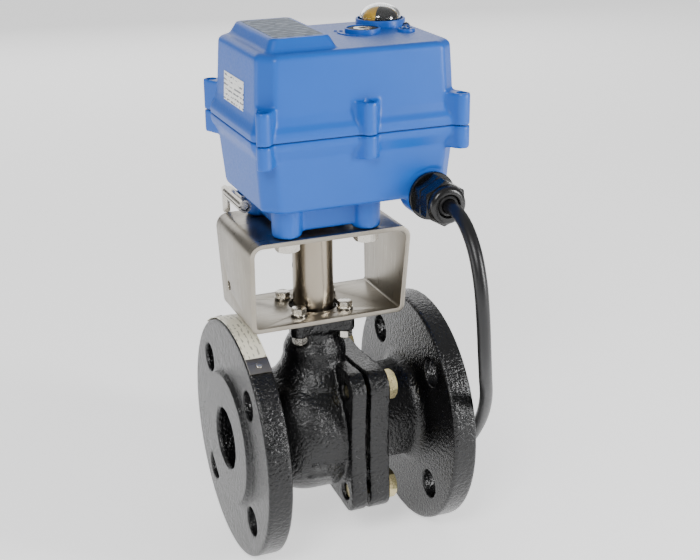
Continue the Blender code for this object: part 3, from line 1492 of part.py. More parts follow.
def main():
    make_valve_body()
    make_end_connector()
    make_ball()
    make_seats()
    make_body_seal()
    make_body_bolts()
    make_stem()
    make_packing()
    make_rating_tag()
    make_bracket()
    make_bracket_screws()
    make_actuator_bolts()
    make_coupling()
    make_base()
    make_cover()
    make_gasket()
    make_cover_screws()
    make_dome()
    make_indicator()
    make_override()
    make_override_seal()
    make_lamp()
    make_output_gear()
    make_override_gear()
    make_indicator_gear()
    make_motor_pinion()
    make_gear_motor()
    make_output_shaft()
    make_output_bush()
    make_gear_plate()
    make_limit_cams()
    make_switch_block()
    make_circuit_board()
    make_gland()
    make_cable()
    make_key()


main()
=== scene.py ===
"""Looks for a flanged ball valve with a bracket-mounted electric actuator.

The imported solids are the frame. Each operator finishes one group of pieces in metres, in place.
"""

import json
import math
import bmesh
import bpy
from bpy.props import FloatProperty, FloatVectorProperty, PointerProperty
from bpy.types import Operator, Panel, PropertyGroup
from mathutils import Matrix, Vector


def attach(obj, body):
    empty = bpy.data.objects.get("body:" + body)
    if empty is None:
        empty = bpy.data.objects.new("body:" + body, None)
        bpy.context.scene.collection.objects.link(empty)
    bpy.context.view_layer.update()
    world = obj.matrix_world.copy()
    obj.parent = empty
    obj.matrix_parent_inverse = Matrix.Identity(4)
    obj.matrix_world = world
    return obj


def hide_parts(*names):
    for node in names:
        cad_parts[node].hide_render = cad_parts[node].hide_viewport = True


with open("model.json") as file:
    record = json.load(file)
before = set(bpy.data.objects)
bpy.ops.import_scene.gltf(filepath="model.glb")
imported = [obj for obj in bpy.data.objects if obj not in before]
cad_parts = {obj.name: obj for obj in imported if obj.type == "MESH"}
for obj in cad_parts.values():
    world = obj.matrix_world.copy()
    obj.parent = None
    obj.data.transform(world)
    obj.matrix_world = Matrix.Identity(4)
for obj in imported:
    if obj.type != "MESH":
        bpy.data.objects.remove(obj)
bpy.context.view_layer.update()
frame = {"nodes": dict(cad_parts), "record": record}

bl_info = {
    "name": "Motorized valve actuator",
    "version": (1, 0, 0),
    "blender": (4, 5, 0),
    "location": "3D Viewport > Sidebar > Valve",
    "description": "Finishes a flanged ball valve and its electric actuator",
    "category": "Object",
}

MM = 0.001
GAP = 0.3 * MM

# Places and sizes of the real parts, in metres.
STEM_X = 60 * MM
FACE_TO_FACE = 140 * MM
BORE_RADIUS = 19 * MM
FLANGE_RADIUS = 75 * MM
FLANGE_BACK = 18 * MM
RAISED_FACE = 3 * MM
RAISED_FACE_RADIUS = 42 * MM
FLANGE_BOLT_CIRCLE = 55 * MM
FLANGE_HOLE_RADIUS = 9 * MM
CAVITY_RADIUS = 32.9 * MM
BOWL_RADIUS = 41 * MM
NECK_RADIUS = 31 * MM
SPLIT_X = STEM_X + 16.8 * MM
TAIL_X = SPLIT_X + 1.8 * MM
BODY_FLANGE = 10.5 * MM
TAIL_FLANGE = 13 * MM
SPLIT_HALF = 47 * MM
SPLIT_CORNER = 12 * MM
SPLIT_WAIST = 2.2 * MM
BODY_BOLT_OFFSET = 34.5 * MM
BODY_BOLT_RADIUS = 5 * MM
BODY_BOLT_HOLE = 5.3 * MM
FLANGE_FILLET = 8 * MM
TAIL_FILLET = 5 * MM
PAD_TOP = 77.9 * MM
PAD_LOW = 67.3 * MM
PAD_BOLT_OFFSET = 14.85 * MM
PAD_EAR_RADIUS = 6 * MM
PAD_WAIST = 4.4 * MM
PAD_BOLT_RADIUS = 2.5 * MM
PAD_BOLT_HOLE = 2.8 * MM
SEAT_RADIUS = 26 * MM
SEAT_FACE = 28.8 * MM
BRACKET_LOW = 78.2 * MM
BRACKET_HIGH = 135.7 * MM
BRACKET_SHEET = 3 * MM
BRACKET_HALF_LOW = 48.9 * MM
BRACKET_HALF_HIGH = 50.6 * MM
BRACKET_DEPTH_LOW = 27.5 * MM
BRACKET_DEPTH_HIGH = 34 * MM
BRACKET_BEND_LOW = 4.5 * MM
BRACKET_BEND_HIGH = 8 * MM
BRACKET_HOLE_LOW = 15.5 * MM
BRACKET_HOLE_HIGH = 16 * MM
SIDE_HOLE_Y = 14 * MM
SIDE_HOLE_RADIUS = 2.9 * MM
FOOT_BOLT_OFFSET = 24.75 * MM
FOOT_BOLT_RADIUS = 4 * MM
FOOT_BOLT_HOLE = 4.3 * MM
COUPLING_RADIUS = 12.5 * MM
COUPLING_LOW = 79.2 * MM
COUPLING_HIGH = 134.5 * MM
PIN_HOLE_HEIGHT = 28 * MM
PIN_HOLE_BEARING = 168
PIN_HOLE_RADIUS = 1.7 * MM
HOUSING_X = STEM_X + 15 * MM
HOUSING_HALF_X = 64 * MM
HOUSING_HALF_Y = 48.4 * MM
HOUSING_CORNER = 8.5 * MM
HOUSING_EDGE = 4 * MM
HOUSING_WALL = 3 * MM
FOOT_LOW = 136 * MM
FLOOR_LOW = 154 * MM
HOUSING_SPLIT = 197.6 * MM
HOUSING_TOP = 245 * MM
BELT_STEP = 3.6 * MM
BASE_BELT = (186.5 * MM, 192.5 * MM, 194 * MM)
COVER_BELT_TOP = 211 * MM
HALVES_LINE = 0.4 * MM
BOSS_X = (STEM_X - 44.9 * MM, STEM_X + 17.5 * MM, STEM_X + 75 * MM)
BOSS_Y = 47.8 * MM
BOSS_RADIUS = 5 * MM
BOSS_SPREAD = 8.3 * MM
BOSS_LOW = 184 * MM
BOSS_HIGH = 216 * MM
WELL_DEPTH = 9 * MM
COVER_SCREW_RADIUS = 2 * MM
LABEL_X = STEM_X - 16.4 * MM
LABEL_HALF_X = 17.2 * MM
LABEL_HALF_Y = 33 * MM
LABEL_TOP = HOUSING_TOP + 7 * MM
INDICATOR = Vector((115.0823 * MM, 23.1324 * MM))
OVERRIDE = Vector((95.9641 * MM, 4.9265 * MM))
LAMP = Vector((120.5 * MM, -2.5 * MM))
DOME_RADIUS = 12.5 * MM
DOME_SKIRT = 4.5 * MM
DOME_HEIGHT = 8.7 * MM
DOME_WALL = 1.2 * MM
GLAND = Vector((118.7 * MM, -42.6 * MM, 155.5 * MM))
GLAND_FLATS = 24 * MM
GLAND_LENGTH = 25 * MM
FLOOR_Z = -75 * MM

CABLE_ROUTE = [
    (118.7, -56.0, 155.5),
    (118.7, -62.0, 155.5),
    (118.7, -68.0, 155.5),
    (118.7, -77.0, 154.9),
    (118.6, -89.0, 149.8),
    (118.6, -100.0, 138.6),
    (119.0, -107.0, 122.0),
    (120.4, -108.6, 102.0),
    (124.4, -103.8, 80.0),
    (131.4, -93.0, 58.0),
    (140.0, -78.5, 36.5),
    (147.0, -61.0, 14.5),
    (151.0, -41.5, -8.0),
    (152.6, -20.0, -30.0),
    (152.4, 4.0, -49.5),
    (150.4, 31.0, -64.0),
    (147.0, 59.0, -70.6),
    (141.6, 87.0, -71.0),
    (135.0, 113.0, -71.0),
]
COIL_CENTRE = Vector((84 * MM, 150 * MM))
COIL_RADIUS = 41 * MM
CABLE_RADIUS = 4 * MM
COIL_TURNS = 2.0

CAMERA_ANGLES = (22.05, 20.65, -0.51)
CAMERA_TARGET = Vector((84.54, 0, 92.64)) * MM
CAMERA_DISTANCE = 0.8181
CAMERA_LENS = 67.7


# ---------------------------------------------------------------- shapes
def keep(obj):
    bpy.context.scene.collection.objects.link(obj)
    return obj


def drop(*objects):
    for obj in objects:
        bpy.data.objects.remove(obj, do_unlink=True)


def from_bmesh(bm, name="shape", recalculate=True):
    if recalculate:
        bmesh.ops.recalc_face_normals(bm, faces=bm.faces)
    mesh = bpy.data.meshes.new(name)
    bm.to_mesh(mesh)
    bm.free()
    return keep(bpy.data.objects.new(name, mesh))


def revolve(profile, place=(0, 0, 0), along="Z", steps=96, ring=True):
    """A turned solid: (radius, height) points. A ring's profile closes on itself."""
    bm = bmesh.new()
    points = [(max(radius, 0), height) for radius, height in profile]
    rows = []
    for radius, height in points:
        if radius < 1e-7:
            rows.append([bm.verts.new((0, 0, height))] * steps)
            continue
        row = []
        for step in range(steps):
            angle = 2 * math.pi * step / steps
            row.append(bm.verts.new((radius * math.cos(angle), radius * math.sin(angle), height)))
        rows.append(row)
    pairs = list(zip(rows, rows[1:]))
    if ring:
        pairs.append((rows[-1], rows[0]))
    for lower, upper in pairs:
        for index in range(steps):
            after = (index + 1) % steps
            corners = []
            for vert in (lower[index], lower[after], upper[after], upper[index]):
                if vert not in corners:
                    corners.append(vert)
            if len(corners) > 2:
                bm.faces.new(corners)
    turn = {"X": Matrix.Rotation(math.pi / 2, 4, "Y"), "Y": Matrix.Rotation(-math.pi / 2, 4, "X")}
    matrix = Matrix.Translation(place) @ turn.get(along, Matrix())
    bmesh.ops.transform(bm, matrix=matrix, verts=bm.verts)
    return from_bmesh(bm, "turned")


def rod(low, high, radius, sides=32):
    low, high = Vector(low), Vector(high)
    bm = bmesh.new()
    bmesh.ops.create_cone(
        bm, cap_ends=True, segments=sides, radius1=radius, radius2=radius, depth=(high - low).length
    )
    spin = (high - low).to_track_quat("Z", "Y").to_matrix().to_4x4()
    bmesh.ops.transform(bm, matrix=Matrix.Translation((low + high) / 2) @ spin, verts=bm.verts)
    return from_bmesh(bm, "rod")


def block(low, high):
    low, high = Vector(low), Vector(high)
    bm = bmesh.new()
    bmesh.ops.create_cube(bm, size=1)
    bmesh.ops.scale(bm, vec=high - low, verts=bm.verts)
    bmesh.ops.translate(bm, vec=(low + high) / 2, verts=bm.verts)
    return from_bmesh(bm, "block")


def arc(centre, radius, start, end, steps):
    x, y = centre
    found = []
    for step in range(steps + 1):
        angle = math.radians(start + (end - start) * step / steps)
        found.append((x + radius * math.cos(angle), y + radius * math.sin(angle)))
    return found


def rounded(corners, radii, steps=6):
    outline = []
    for index, corner in enumerate(corners):
        here = Vector(corner)
        back = (Vector(corners[index - 1]) - here).normalized()
        ahead = (Vector(corners[(index + 1) % len(corners)]) - here).normalized()
        half = math.acos(max(-1.0, min(1.0, back.dot(ahead)))) / 2
        reach = radii[index] / math.tan(half)
        centre = here + (back + ahead).normalized() * (radii[index] / math.sin(half))
        start = here + back * reach - centre
        end = here + ahead * reach - centre
        turn = start.angle_signed(end)
        for step in range(steps + 1):
            spoke = start.copy()
            spoke.rotate(Matrix.Rotation(-turn * step / steps, 2))
            outline.append(tuple(centre + spoke))
    return outline


def loft(rings):
    """A closed skin over rings of points, from the lowest ring up."""
    bm = bmesh.new()
    made = [[bm.verts.new(point) for point in ring] for ring in rings]
    count = len(rings[0])
    for lower, upper in zip(made, made[1:]):
        for index in range(count):
            after = (index + 1) % count
            bm.faces.new((lower[index], lower[after], upper[after], upper[index]))
    bm.faces.new(reversed(made[0]))
    bm.faces.new(made[-1])
    return from_bmesh(bm, "loft")


def slab(outline, low, high, along="Z", place=(0, 0, 0)):
    """A flat shape with the outline, from low to high along an axis."""
    lay = {
        "X": Matrix(((0, 0, 1, 0), (1, 0, 0, 0), (0, 1, 0, 0), (0, 0, 0, 1))),
        "Y": Matrix(((1, 0, 0, 0), (0, 0, -1, 0), (0, 1, 0, 0), (0, 0, 0, 1))),
    }
    matrix = Matrix.Translation(place) @ lay.get(along, Matrix())
    rings = [[matrix @ Vector((x, y, z)) for x, y in outline] for z in (low, high)]
    return loft(rings)


def combine(target, others, operation):
    for other in others:
        modifier = target.modifiers.new(operation, "BOOLEAN")
        modifier.operation = operation
        modifier.solver = "EXACT"
        modifier.object = other
    flatten(target)
    drop(*others)
    return target


def join(target, *others):
    return combine(target, others, "UNION")


def cut(target, *others):
    return combine(target, others, "DIFFERENCE")


def flatten(obj):
    """Applies the object's modifiers to its mesh."""
    bpy.context.view_layer.update()
    graph = bpy.context.evaluated_depsgraph_get()
    mesh = bpy.data.meshes.new_from_object(obj.evaluated_get(graph))
    obj.modifiers.clear()
    obj.data = mesh
    return obj


def weld_solid(solids, voxel, soften):
    """Casts overlapping solids into one skin, whose edges and corners are softly filleted."""
    bm = bmesh.new()
    for solid in solids:
        bm.from_mesh(solid.data)
    drop(*solids)
    skin = from_bmesh(bm, "cast", recalculate=False)
    remesh = skin.modifiers.new("Cast", "REMESH")
    remesh.mode = "VOXEL"
    remesh.voxel_size = voxel
    remesh.use_smooth_shade = True
    smooth = skin.modifiers.new("Soften", "SMOOTH")
    smooth.factor = 0.5
    smooth.iterations = soften
    return flatten(skin)


def soften_edges(obj, width, segments=2, angle=35):
    bevel = obj.modifiers.new("Bevel", "BEVEL")
    bevel.width = width
    bevel.segments = segments
    bevel.limit_method = "ANGLE"
    bevel.angle_limit = math.radians(angle)
    return flatten(obj)


def finish(obj, name, body, material, nodes=(), sharp=35):
    """Names a piece, gives it its material and ties it to the body it moves with."""
    obj.name = name
    obj.data.name = name
    if material is not None:
        obj.data.materials.clear()
        obj.data.materials.append(material)
    if sharp is not None:
        obj.data.shade_smooth()
        obj.data.set_sharp_from_angle(angle=math.radians(sharp))
    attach(obj, body)
    if nodes:
        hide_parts(*nodes)
    return obj


# ---------------------------------------------------------------- materials
def linear(code):
    """An sRGB hex colour as linear RGBA."""
    values = [int(code[i : i + 2], 16) / 255 for i in (1, 3, 5)]
    return (*[v / 12.92 if v <= 0.04045 else ((v + 0.055) / 1.055) ** 2.4 for v in values], 1)


def add(tree, kind, inputs=None, **settings):
    """Adds a node with its settings; each input is a value or the socket that feeds it."""
    node = tree.nodes.new(kind)
    for key, value in settings.items():
        setattr(node, key, value)
    for socket, value in (inputs or {}).items():
        if isinstance(value, bpy.types.NodeSocket):
            tree.links.new(value, node.inputs[socket])
        else:
            node.inputs[socket].default_value = value
    return node


def surface(name, colours, tone, grit, roughness, relief, stretch=(1, 1, 1), **sockets):
    """A finish: a slow drift between two colours, and a grit that roughens and lifts it.

    The tone and the grit are the sizes of their patches, and the relief is the grit's height.
    """
    material = bpy.data.materials.new(name)
    material.use_nodes = True
    tree = material.node_tree
    shader = tree.nodes["Principled BSDF"]
    for socket, value in sockets.items():
        shader.inputs[socket.replace("_", " ")].default_value = value
    place = add(tree, "ShaderNodeTexCoord").outputs["Object"]
    drift = add(tree, "ShaderNodeTexNoise", {"Vector": place, "Scale": 1 / tone, "Detail": 2.0})
    colour = add(
        tree,
        "ShaderNodeMix",
        {0: drift.outputs["Fac"], 6: linear(colours[0]), 7: linear(colours[1])},
        data_type="RGBA",
    )
    laid = add(tree, "ShaderNodeMapping", {"Vector": place, "Scale": stretch})
    grain = add(
        tree,
        "ShaderNodeTexNoise",
        {"Vector": laid.outputs["Vector"], "Scale": 1 / grit, "Detail": 3.0, "Roughness": 0.55},
    )
    rough = add(
        tree,
        "ShaderNodeMapRange",
        {0: grain.outputs["Fac"], 1: 0.3, 2: 0.7, 3: roughness[0], 4: roughness[1]},
    )
    lift = add(
        tree,
        "ShaderNodeBump",
        {"Height": grain.outputs["Fac"], "Distance": relief, "Strength": 1.0},
    )
    tree.links.new(colour.outputs[2], shader.inputs["Base Color"])
    tree.links.new(rough.outputs["Result"], shader.inputs["Roughness"])
    tree.links.new(lift.outputs["Normal"], shader.inputs["Normal"])
    return material


def paint_sectors(material):
    """Paints two opposite quarters of the rotor black, about the rotor's own axis."""
    tree = material.node_tree
    place = add(tree, "ShaderNodeTexCoord").outputs["Object"]
    away = (-INDICATOR.x, -INDICATOR.y, 0)
    centred = add(tree, "ShaderNodeMapping", {"Vector": place, "Location": away})
    split = add(tree, "ShaderNodeSeparateXYZ", {"Vector": centred.outputs["Vector"]})
    angle = add(
        tree, "ShaderNodeMath", {0: split.outputs["Y"], 1: split.outputs["X"]}, operation="ARCTAN2"
    )
    doubled = add(
        tree,
        "ShaderNodeMath",
        {0: angle.outputs[0], 1: 2.0, 2: math.radians(-100)},
        operation="MULTIPLY_ADD",
    )
    wave = add(tree, "ShaderNodeMath", {0: doubled.outputs[0]}, operation="SINE")
    edge = add(tree, "ShaderNodeMapRange", {0: wave.outputs[0], 1: -0.02, 2: 0.02})
    shader = tree.nodes["Principled BSDF"]
    yellow = shader.inputs["Base Color"].links[0].from_socket
    quarters = add(
        tree,
        "ShaderNodeMix",
        {0: edge.outputs["Result"], 6: yellow, 7: linear("#0E0E10")},
        data_type="RGBA",
    )
    tree.links.new(quarters.outputs[2], shader.inputs["Base Color"])
    return material


def print_rows(material, ink, pitch, axis, stretch):
    """Prints rows of plain marks, with no lettering, over a label's ground."""
    tree = material.node_tree
    place = add(tree, "ShaderNodeTexCoord").outputs["Object"]
    split = add(tree, "ShaderNodeSeparateXYZ", {"Vector": place})
    rows = add(
        tree,
        "ShaderNodeMath",
        {0: split.outputs[axis], 1: 2 * math.pi / pitch},
        operation="MULTIPLY",
    )
    wave = add(tree, "ShaderNodeMath", {0: rows.outputs[0]}, operation="SINE")
    row = add(tree, "ShaderNodeMapRange", {0: wave.outputs[0], 1: 0.25, 2: 0.5})
    laid = add(tree, "ShaderNodeMapping", {"Vector": place, "Scale": stretch})
    dots = add(
        tree,
        "ShaderNodeTexNoise",
        {"Vector": laid.outputs["Vector"], "Scale": 1 / (1.4 * MM), "Detail": 0.0},
    )
    mark = add(tree, "ShaderNodeMapRange", {0: dots.outputs["Fac"], 1: 0.48, 2: 0.56})
    printed = add(
        tree,
        "ShaderNodeMath",
        {0: mark.outputs["Result"], 1: row.outputs["Result"]},
        operation="MULTIPLY",
    )
    shader = tree.nodes["Principled BSDF"]
    ground = shader.inputs["Base Color"].links[0].from_socket
    both = add(
        tree,
        "ShaderNodeMix",
        {0: printed.outputs[0], 6: ground, 7: linear(ink)},
        data_type="RGBA",
    )
    tree.links.new(both.outputs[2], shader.inputs["Base Color"])
    return material


MATERIALS = {}


def make_materials(settings):
    # Sand-cast iron under black enamel: glossy, with the sand's lumps breaking up each glint.
    MATERIALS["casting"] = surface(
        "black enamel on sand-cast iron", ("#030304", "#09090A"), 14 * MM, 2 * MM,
        (0.14, 0.28), 0.8 * MM, Specular_IOR_Level=0.5,
    )
    # Die-cast aluminium under powder coat: satin, with the peel of the baked powder.
    MATERIALS["blue"] = surface(
        "blue powder coat", ("#0F5CB4", "#1566C2"), 40 * MM, 1.5 * MM,
        (0.34, 0.44), 0.03 * MM, Specular_IOR_Level=0.4,
    )
    shader = MATERIALS["blue"].node_tree.nodes["Principled BSDF"]
    mix = shader.inputs["Base Color"].links[0].from_node
    mix.inputs[7].default_value = (*settings.blue, 1)
    mix.inputs[6].default_value = (*[0.86 * channel for channel in settings.blue], 1)
    # Cold-rolled stainless sheet: warm grey, with long faint streaks along the strip.
    MATERIALS["sheet"] = surface(
        "rolled stainless sheet", ("#857F74", "#A8A297"), 20 * MM, 1 * MM,
        (0.26, 0.4), 0.03 * MM, (0.05, 1, 0.05), Metallic=1.0,
    )
    # Lathe-turned stainless: rings too fine to see, which pull each glint into a tall band.
    MATERIALS["turned"] = surface(
        "turned stainless", ("#8F8677", "#A0978A"), 25 * MM, 0.9 * MM,
        (0.22, 0.26), 0.0008 * MM, (0.05, 0.05, 1), Metallic=1.0,
    )
    # Cold-headed stainless screws: bright, with small dents.
    MATERIALS["fastener"] = surface(
        "cold-headed stainless", ("#B9B5AC", "#CFCBC3"), 5 * MM, 0.9 * MM,
        (0.2, 0.32), 0.02 * MM, Metallic=1.0,
    )
    # Yellow passivated zinc: straw that drifts towards green and pink over each bolt.
    MATERIALS["zinc"] = surface(
        "yellow passivated zinc", ("#A8A878", "#DCC69A"), 4 * MM, 0.8 * MM,
        (0.24, 0.36), 0.02 * MM, Metallic=1.0,
    )
    # Hobbed steel gears: grey, with a film of oil.
    MATERIALS["steel"] = surface(
        "hobbed gear steel", ("#6E6F72", "#97989B"), 8 * MM, 0.8 * MM,
        (0.22, 0.4), 0.02 * MM, Metallic=1.0,
    )
    # Sintered bronze: matt and finely porous.
    MATERIALS["bronze"] = surface(
        "sintered bronze", ("#8E6530", "#B98A4A"), 4 * MM, 0.6 * MM,
        (0.35, 0.5), 0.04 * MM, Metallic=1.0,
    )
    # Glass-filled nylon: black, moulded, with a low sheen.
    MATERIALS["nylon"] = surface(
        "moulded black nylon", ("#060607", "#0E0E0F"), 9 * MM, 1.2 * MM, (0.22, 0.3), 0.002 * MM
    )
    MATERIALS["rubber"] = surface(
        "moulded black rubber", ("#0C0C0D", "#151516"), 6 * MM, 1 * MM, (0.5, 0.65), 0.02 * MM
    )
    # Extruded PVC: black, with a soft long glint down the sheath.
    MATERIALS["sheath"] = surface(
        "extruded black PVC", ("#08080A", "#101012"), 20 * MM, 2 * MM, (0.3, 0.4), 0.02 * MM
    )
    MATERIALS["ptfe"] = surface(
        "skived white PTFE", ("#DEDED8", "#ECECE8"), 8 * MM, 1 * MM, (0.4, 0.5), 0.02 * MM
    )
    MATERIALS["switch"] = surface(
        "moulded black ABS", ("#17171A", "#222226"), 8 * MM, 1 * MM, (0.4, 0.5), 0.02 * MM
    )
    MATERIALS["board"] = surface(
        "green solder mask", ("#0C4A24", "#125A2E"), 6 * MM, 1.2 * MM, (0.3, 0.45), 0.02 * MM
    )
    # Clear polycarbonate: a sharp reflection and the faint haze of a moulded dome.
    MATERIALS["clear"] = surface(
        "clear polycarbonate", ("#F4F6F5", "#FFFFFF"), 6 * MM, 3 * MM,
        (0.02, 0.06), 0.002 * MM, IOR=1.58, Transmission_Weight=1.0,
    )
    # Moulded acetal in two colours: smooth under the dome.
    MATERIALS["rotor"] = paint_sectors(
        surface("yellow and black acetal", ("#F0B80C", "#F6C216"), 6 * MM, 1 * MM, (0.3, 0.4), 0.004 * MM)
    )
    # Enamelled tin plate: cream, with grey print that has begun to wear.
    MATERIALS["cream"] = print_rows(
        surface("cream enamelled tag", ("#E8E3CC", "#F2EEDC"), 12 * MM, 1 * MM, (0.3, 0.4), 0.01 * MM),
        "#A8A494", 3.1 * MM, "X", (1, 0.45, 0.45),
    )
    # Printed foil behind a clear film: grey-blue, with pale print.
    MATERIALS["label"] = print_rows(
        surface("grey printed foil", ("#3E4E62", "#4A5B70"), 18 * MM, 2 * MM, (0.4, 0.5), 0.006 * MM,
            Specular_IOR_Level=0.15),
        "#93A1B1", 5.2 * MM, "Y", (0.25, 1, 1),
    )
    # Coated paper: white and matt, with a grey printed table.
    MATERIALS["sticker"] = print_rows(
        surface("white coated paper", ("#EAEAE6", "#F2F2EF"), 10 * MM, 1 * MM, (0.45, 0.55), 0.01 * MM),
        "#6A6D72", 2.8 * MM, "Z", (1, 0.5, 1),
    )


NODE_FINISHES = {
    "black_cast_iron": "casting",
    "stainless": "fastener",
    "zinc_yellow": "zinc",
    "blue_paint": "blue",
    "black_nylon": "nylon",
    "ptfe": "ptfe",
    "cream_enamel": "cream",
    "clear_plastic": "clear",
    "indicator_yellow": "rotor",
    "gear_steel": "steel",
    "bronze": "bronze",
    "board_green": "board",
    "rubber_black": "rubber",
    "switch_plastic": "switch",
}


def dress_frame():
    """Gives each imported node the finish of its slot, ready for those that stay."""
    for part in frame["record"]["subparts"]:
        obj = frame["nodes"][part["node"]]
        obj.data.materials.clear()
        obj.data.materials.append(MATERIALS[NODE_FINISHES[part["material_slot"]]])


# ---------------------------------------------------------------- camera and stage
def make_camera():
    """The camera stands in front and above, on the inlet's side."""
    azimuth, elevation, roll = (math.radians(a) for a in CAMERA_ANGLES)
    forward = Vector(
        (
            math.sin(azimuth) * math.cos(elevation),
            math.cos(azimuth) * math.cos(elevation),
            -math.sin(elevation),
        )
    )
    right = Vector((math.cos(azimuth), -math.sin(azimuth), 0))
    up = right.cross(forward)
    tilted_right = right * math.cos(roll) + up * math.sin(roll)
    tilted_up = -right * math.sin(roll) + up * math.cos(roll)
    data = bpy.data.cameras.new("camera")
    data.sensor_width = 36
    data.lens = CAMERA_LENS
    data.clip_start = 0.01
    camera = keep(bpy.data.objects.new("camera", data))
    place = CAMERA_TARGET - forward * CAMERA_DISTANCE
    columns = (tilted_right, tilted_up, -forward)
    camera.matrix_world = Matrix.Translation(place) @ Matrix(columns).transposed().to_4x4()
    bpy.context.scene.camera = camera


def make_light(name, place, aim, size, power, size_y=None):
    data = bpy.data.lights.new(name, "AREA")
    data.energy = power
    data.size = size
    if size_y is not None:
        data.shape = "RECTANGLE"
        data.size_y = size_y
    light = keep(bpy.data.objects.new(name, data))
    light.location = place
    light.rotation_euler = (Vector(aim) - Vector(place)).to_track_quat("-Z", "Y").to_euler()


def make_stage(settings):
    """A pale floor, a sky that is brighter overhead, and four softboxes."""
    bm = bmesh.new()
    bmesh.ops.create_grid(bm, x_segments=1, y_segments=1, size=6)
    bmesh.ops.translate(bm, vec=(0, 0, FLOOR_Z - 0.1 * MM), verts=bm.verts)
    floor = from_bmesh(bm, "cast", recalculate=False)
    floor.name = "floor"
    # Painted board: matt white, lit a little from within so that it stays pale far away.
    board = surface(
        "matt white board", ("#F4F4F4", "#FAFAFA"), 0.6, 40 * MM, (0.85, 0.95), 0.0,
        Emission_Color=(1, 1, 1, 1), Emission_Strength=settings.floor_glow,
    )
    floor.data.materials.append(board)
    world = bpy.data.worlds.new("studio")
    bpy.context.scene.world = world
    world.use_nodes = True
    tree = world.node_tree
    place = add(tree, "ShaderNodeTexCoord").outputs["Generated"]
    split = add(tree, "ShaderNodeSeparateXYZ", {"Vector": place})
    sky = add(
        tree,
        "ShaderNodeMapRange",
        {0: split.outputs["Z"], 1: 0.0, 2: 0.9, 3: 0.5 * settings.ambient, 4: 1.3 * settings.ambient},
    )
    tree.links.new(sky.outputs["Result"], tree.nodes["Background"].inputs["Strength"])
    tree.nodes["Background"].inputs["Color"].default_value = (1, 1, 1, 1)
    aim = (0.07, 0, 0.09)
    make_light("key", (-0.62, -0.95, 0.95), aim, 0.42, settings.key)
    make_light("fill", (0.95, -0.9, 0.4), aim, 0.2, settings.key * 1.1, 0.5)
    make_light("back", (0.4, 1.7, 0.7), aim, 1.8, settings.key * 0.8, 0.9)
    make_light("left", (-1.3, 0.15, 0.1), aim, 0.5, settings.key * 0.3, 0.6)


# ---------------------------------------------------------------- valve
def waisted_square(half, corner, waist):
    inner = half - corner
    outline = []
    for quarter in range(4):
        turn = math.radians(90 * quarter)
        centre = (
            inner * (math.cos(turn) - math.sin(turn)),
            inner * (math.cos(turn) + math.sin(turn)),
        )
        outline += arc(centre, corner, 90 * quarter, 90 * quarter + 90, 8)
        for share in (0.25, 0.5, 0.75):
            along = inner * (1 - 2 * share)
            reach = half - waist * math.sin(math.pi * share)
            outline.append(
                (
                    -math.sin(turn) * reach + math.cos(turn) * along,
                    math.cos(turn) * reach + math.sin(turn) * along,
                )
            )
    return outline


def four_corners(offset):
    return [(side_x * offset, side_y * offset) for side_x in (-1, 1) for side_y in (-1, 1)]


def flange_holes(low, high):
    holes = []
    for index in range(4):
        angle = math.radians(45 + 90 * index)
        y, z = FLANGE_BOLT_CIRCLE * math.cos(angle), FLANGE_BOLT_CIRCLE * math.sin(angle)
        holes.append(rod((low, y, z), (high, y, z), FLANGE_HOLE_RADIUS, 48))
    return holes


def bolt_holes(low, high):
    return [rod((low, y, z), (high, y, z), BODY_BOLT_HOLE, 32) for y, z in four_corners(BODY_BOLT_OFFSET)]


def fillet(face, size, side, steps=range(7)):
    """The round between the neck and a face; the side is where the neck lies along the pipe."""
    points = []
    for step in steps:
        angle = math.radians(15 * step)
        inward, along = 1 - math.cos(angle), 1 - math.sin(angle)
        points.append((NECK_RADIUS + size * inward, face + side * size * along))
    return points


def bowl_profile():
    """The body's outside about the pipe axis: the bowl, then the neck up to the inlet flange."""
    profile = [(BOWL_RADIUS - 1 * MM, SPLIT_X - 1 * MM)]
    profile += [(BOWL_RADIUS, STEM_X + 4 * MM), (BOWL_RADIUS, STEM_X - 10 * MM)]
    for step in range(1, 9):
        share = step / 8
        x = STEM_X - 10 * MM - 23 * MM * share
        profile.append((BOWL_RADIUS - (BOWL_RADIUS - NECK_RADIUS) * share**2.2, x))
    return profile + fillet(FLANGE_BACK, FLANGE_FILLET, 1, range(1, 7))


def rim(inward, outward, radius=FLANGE_RADIUS, edge=0.9 * MM):
    """A flange rim's profile between two faces, with its edges broken."""
    sign = 1 if outward > inward else -1
    return [
        (radius - edge, inward),
        (radius, inward + sign * edge),
        (radius, outward - sign * edge),
        (radius - edge, outward),
    ]


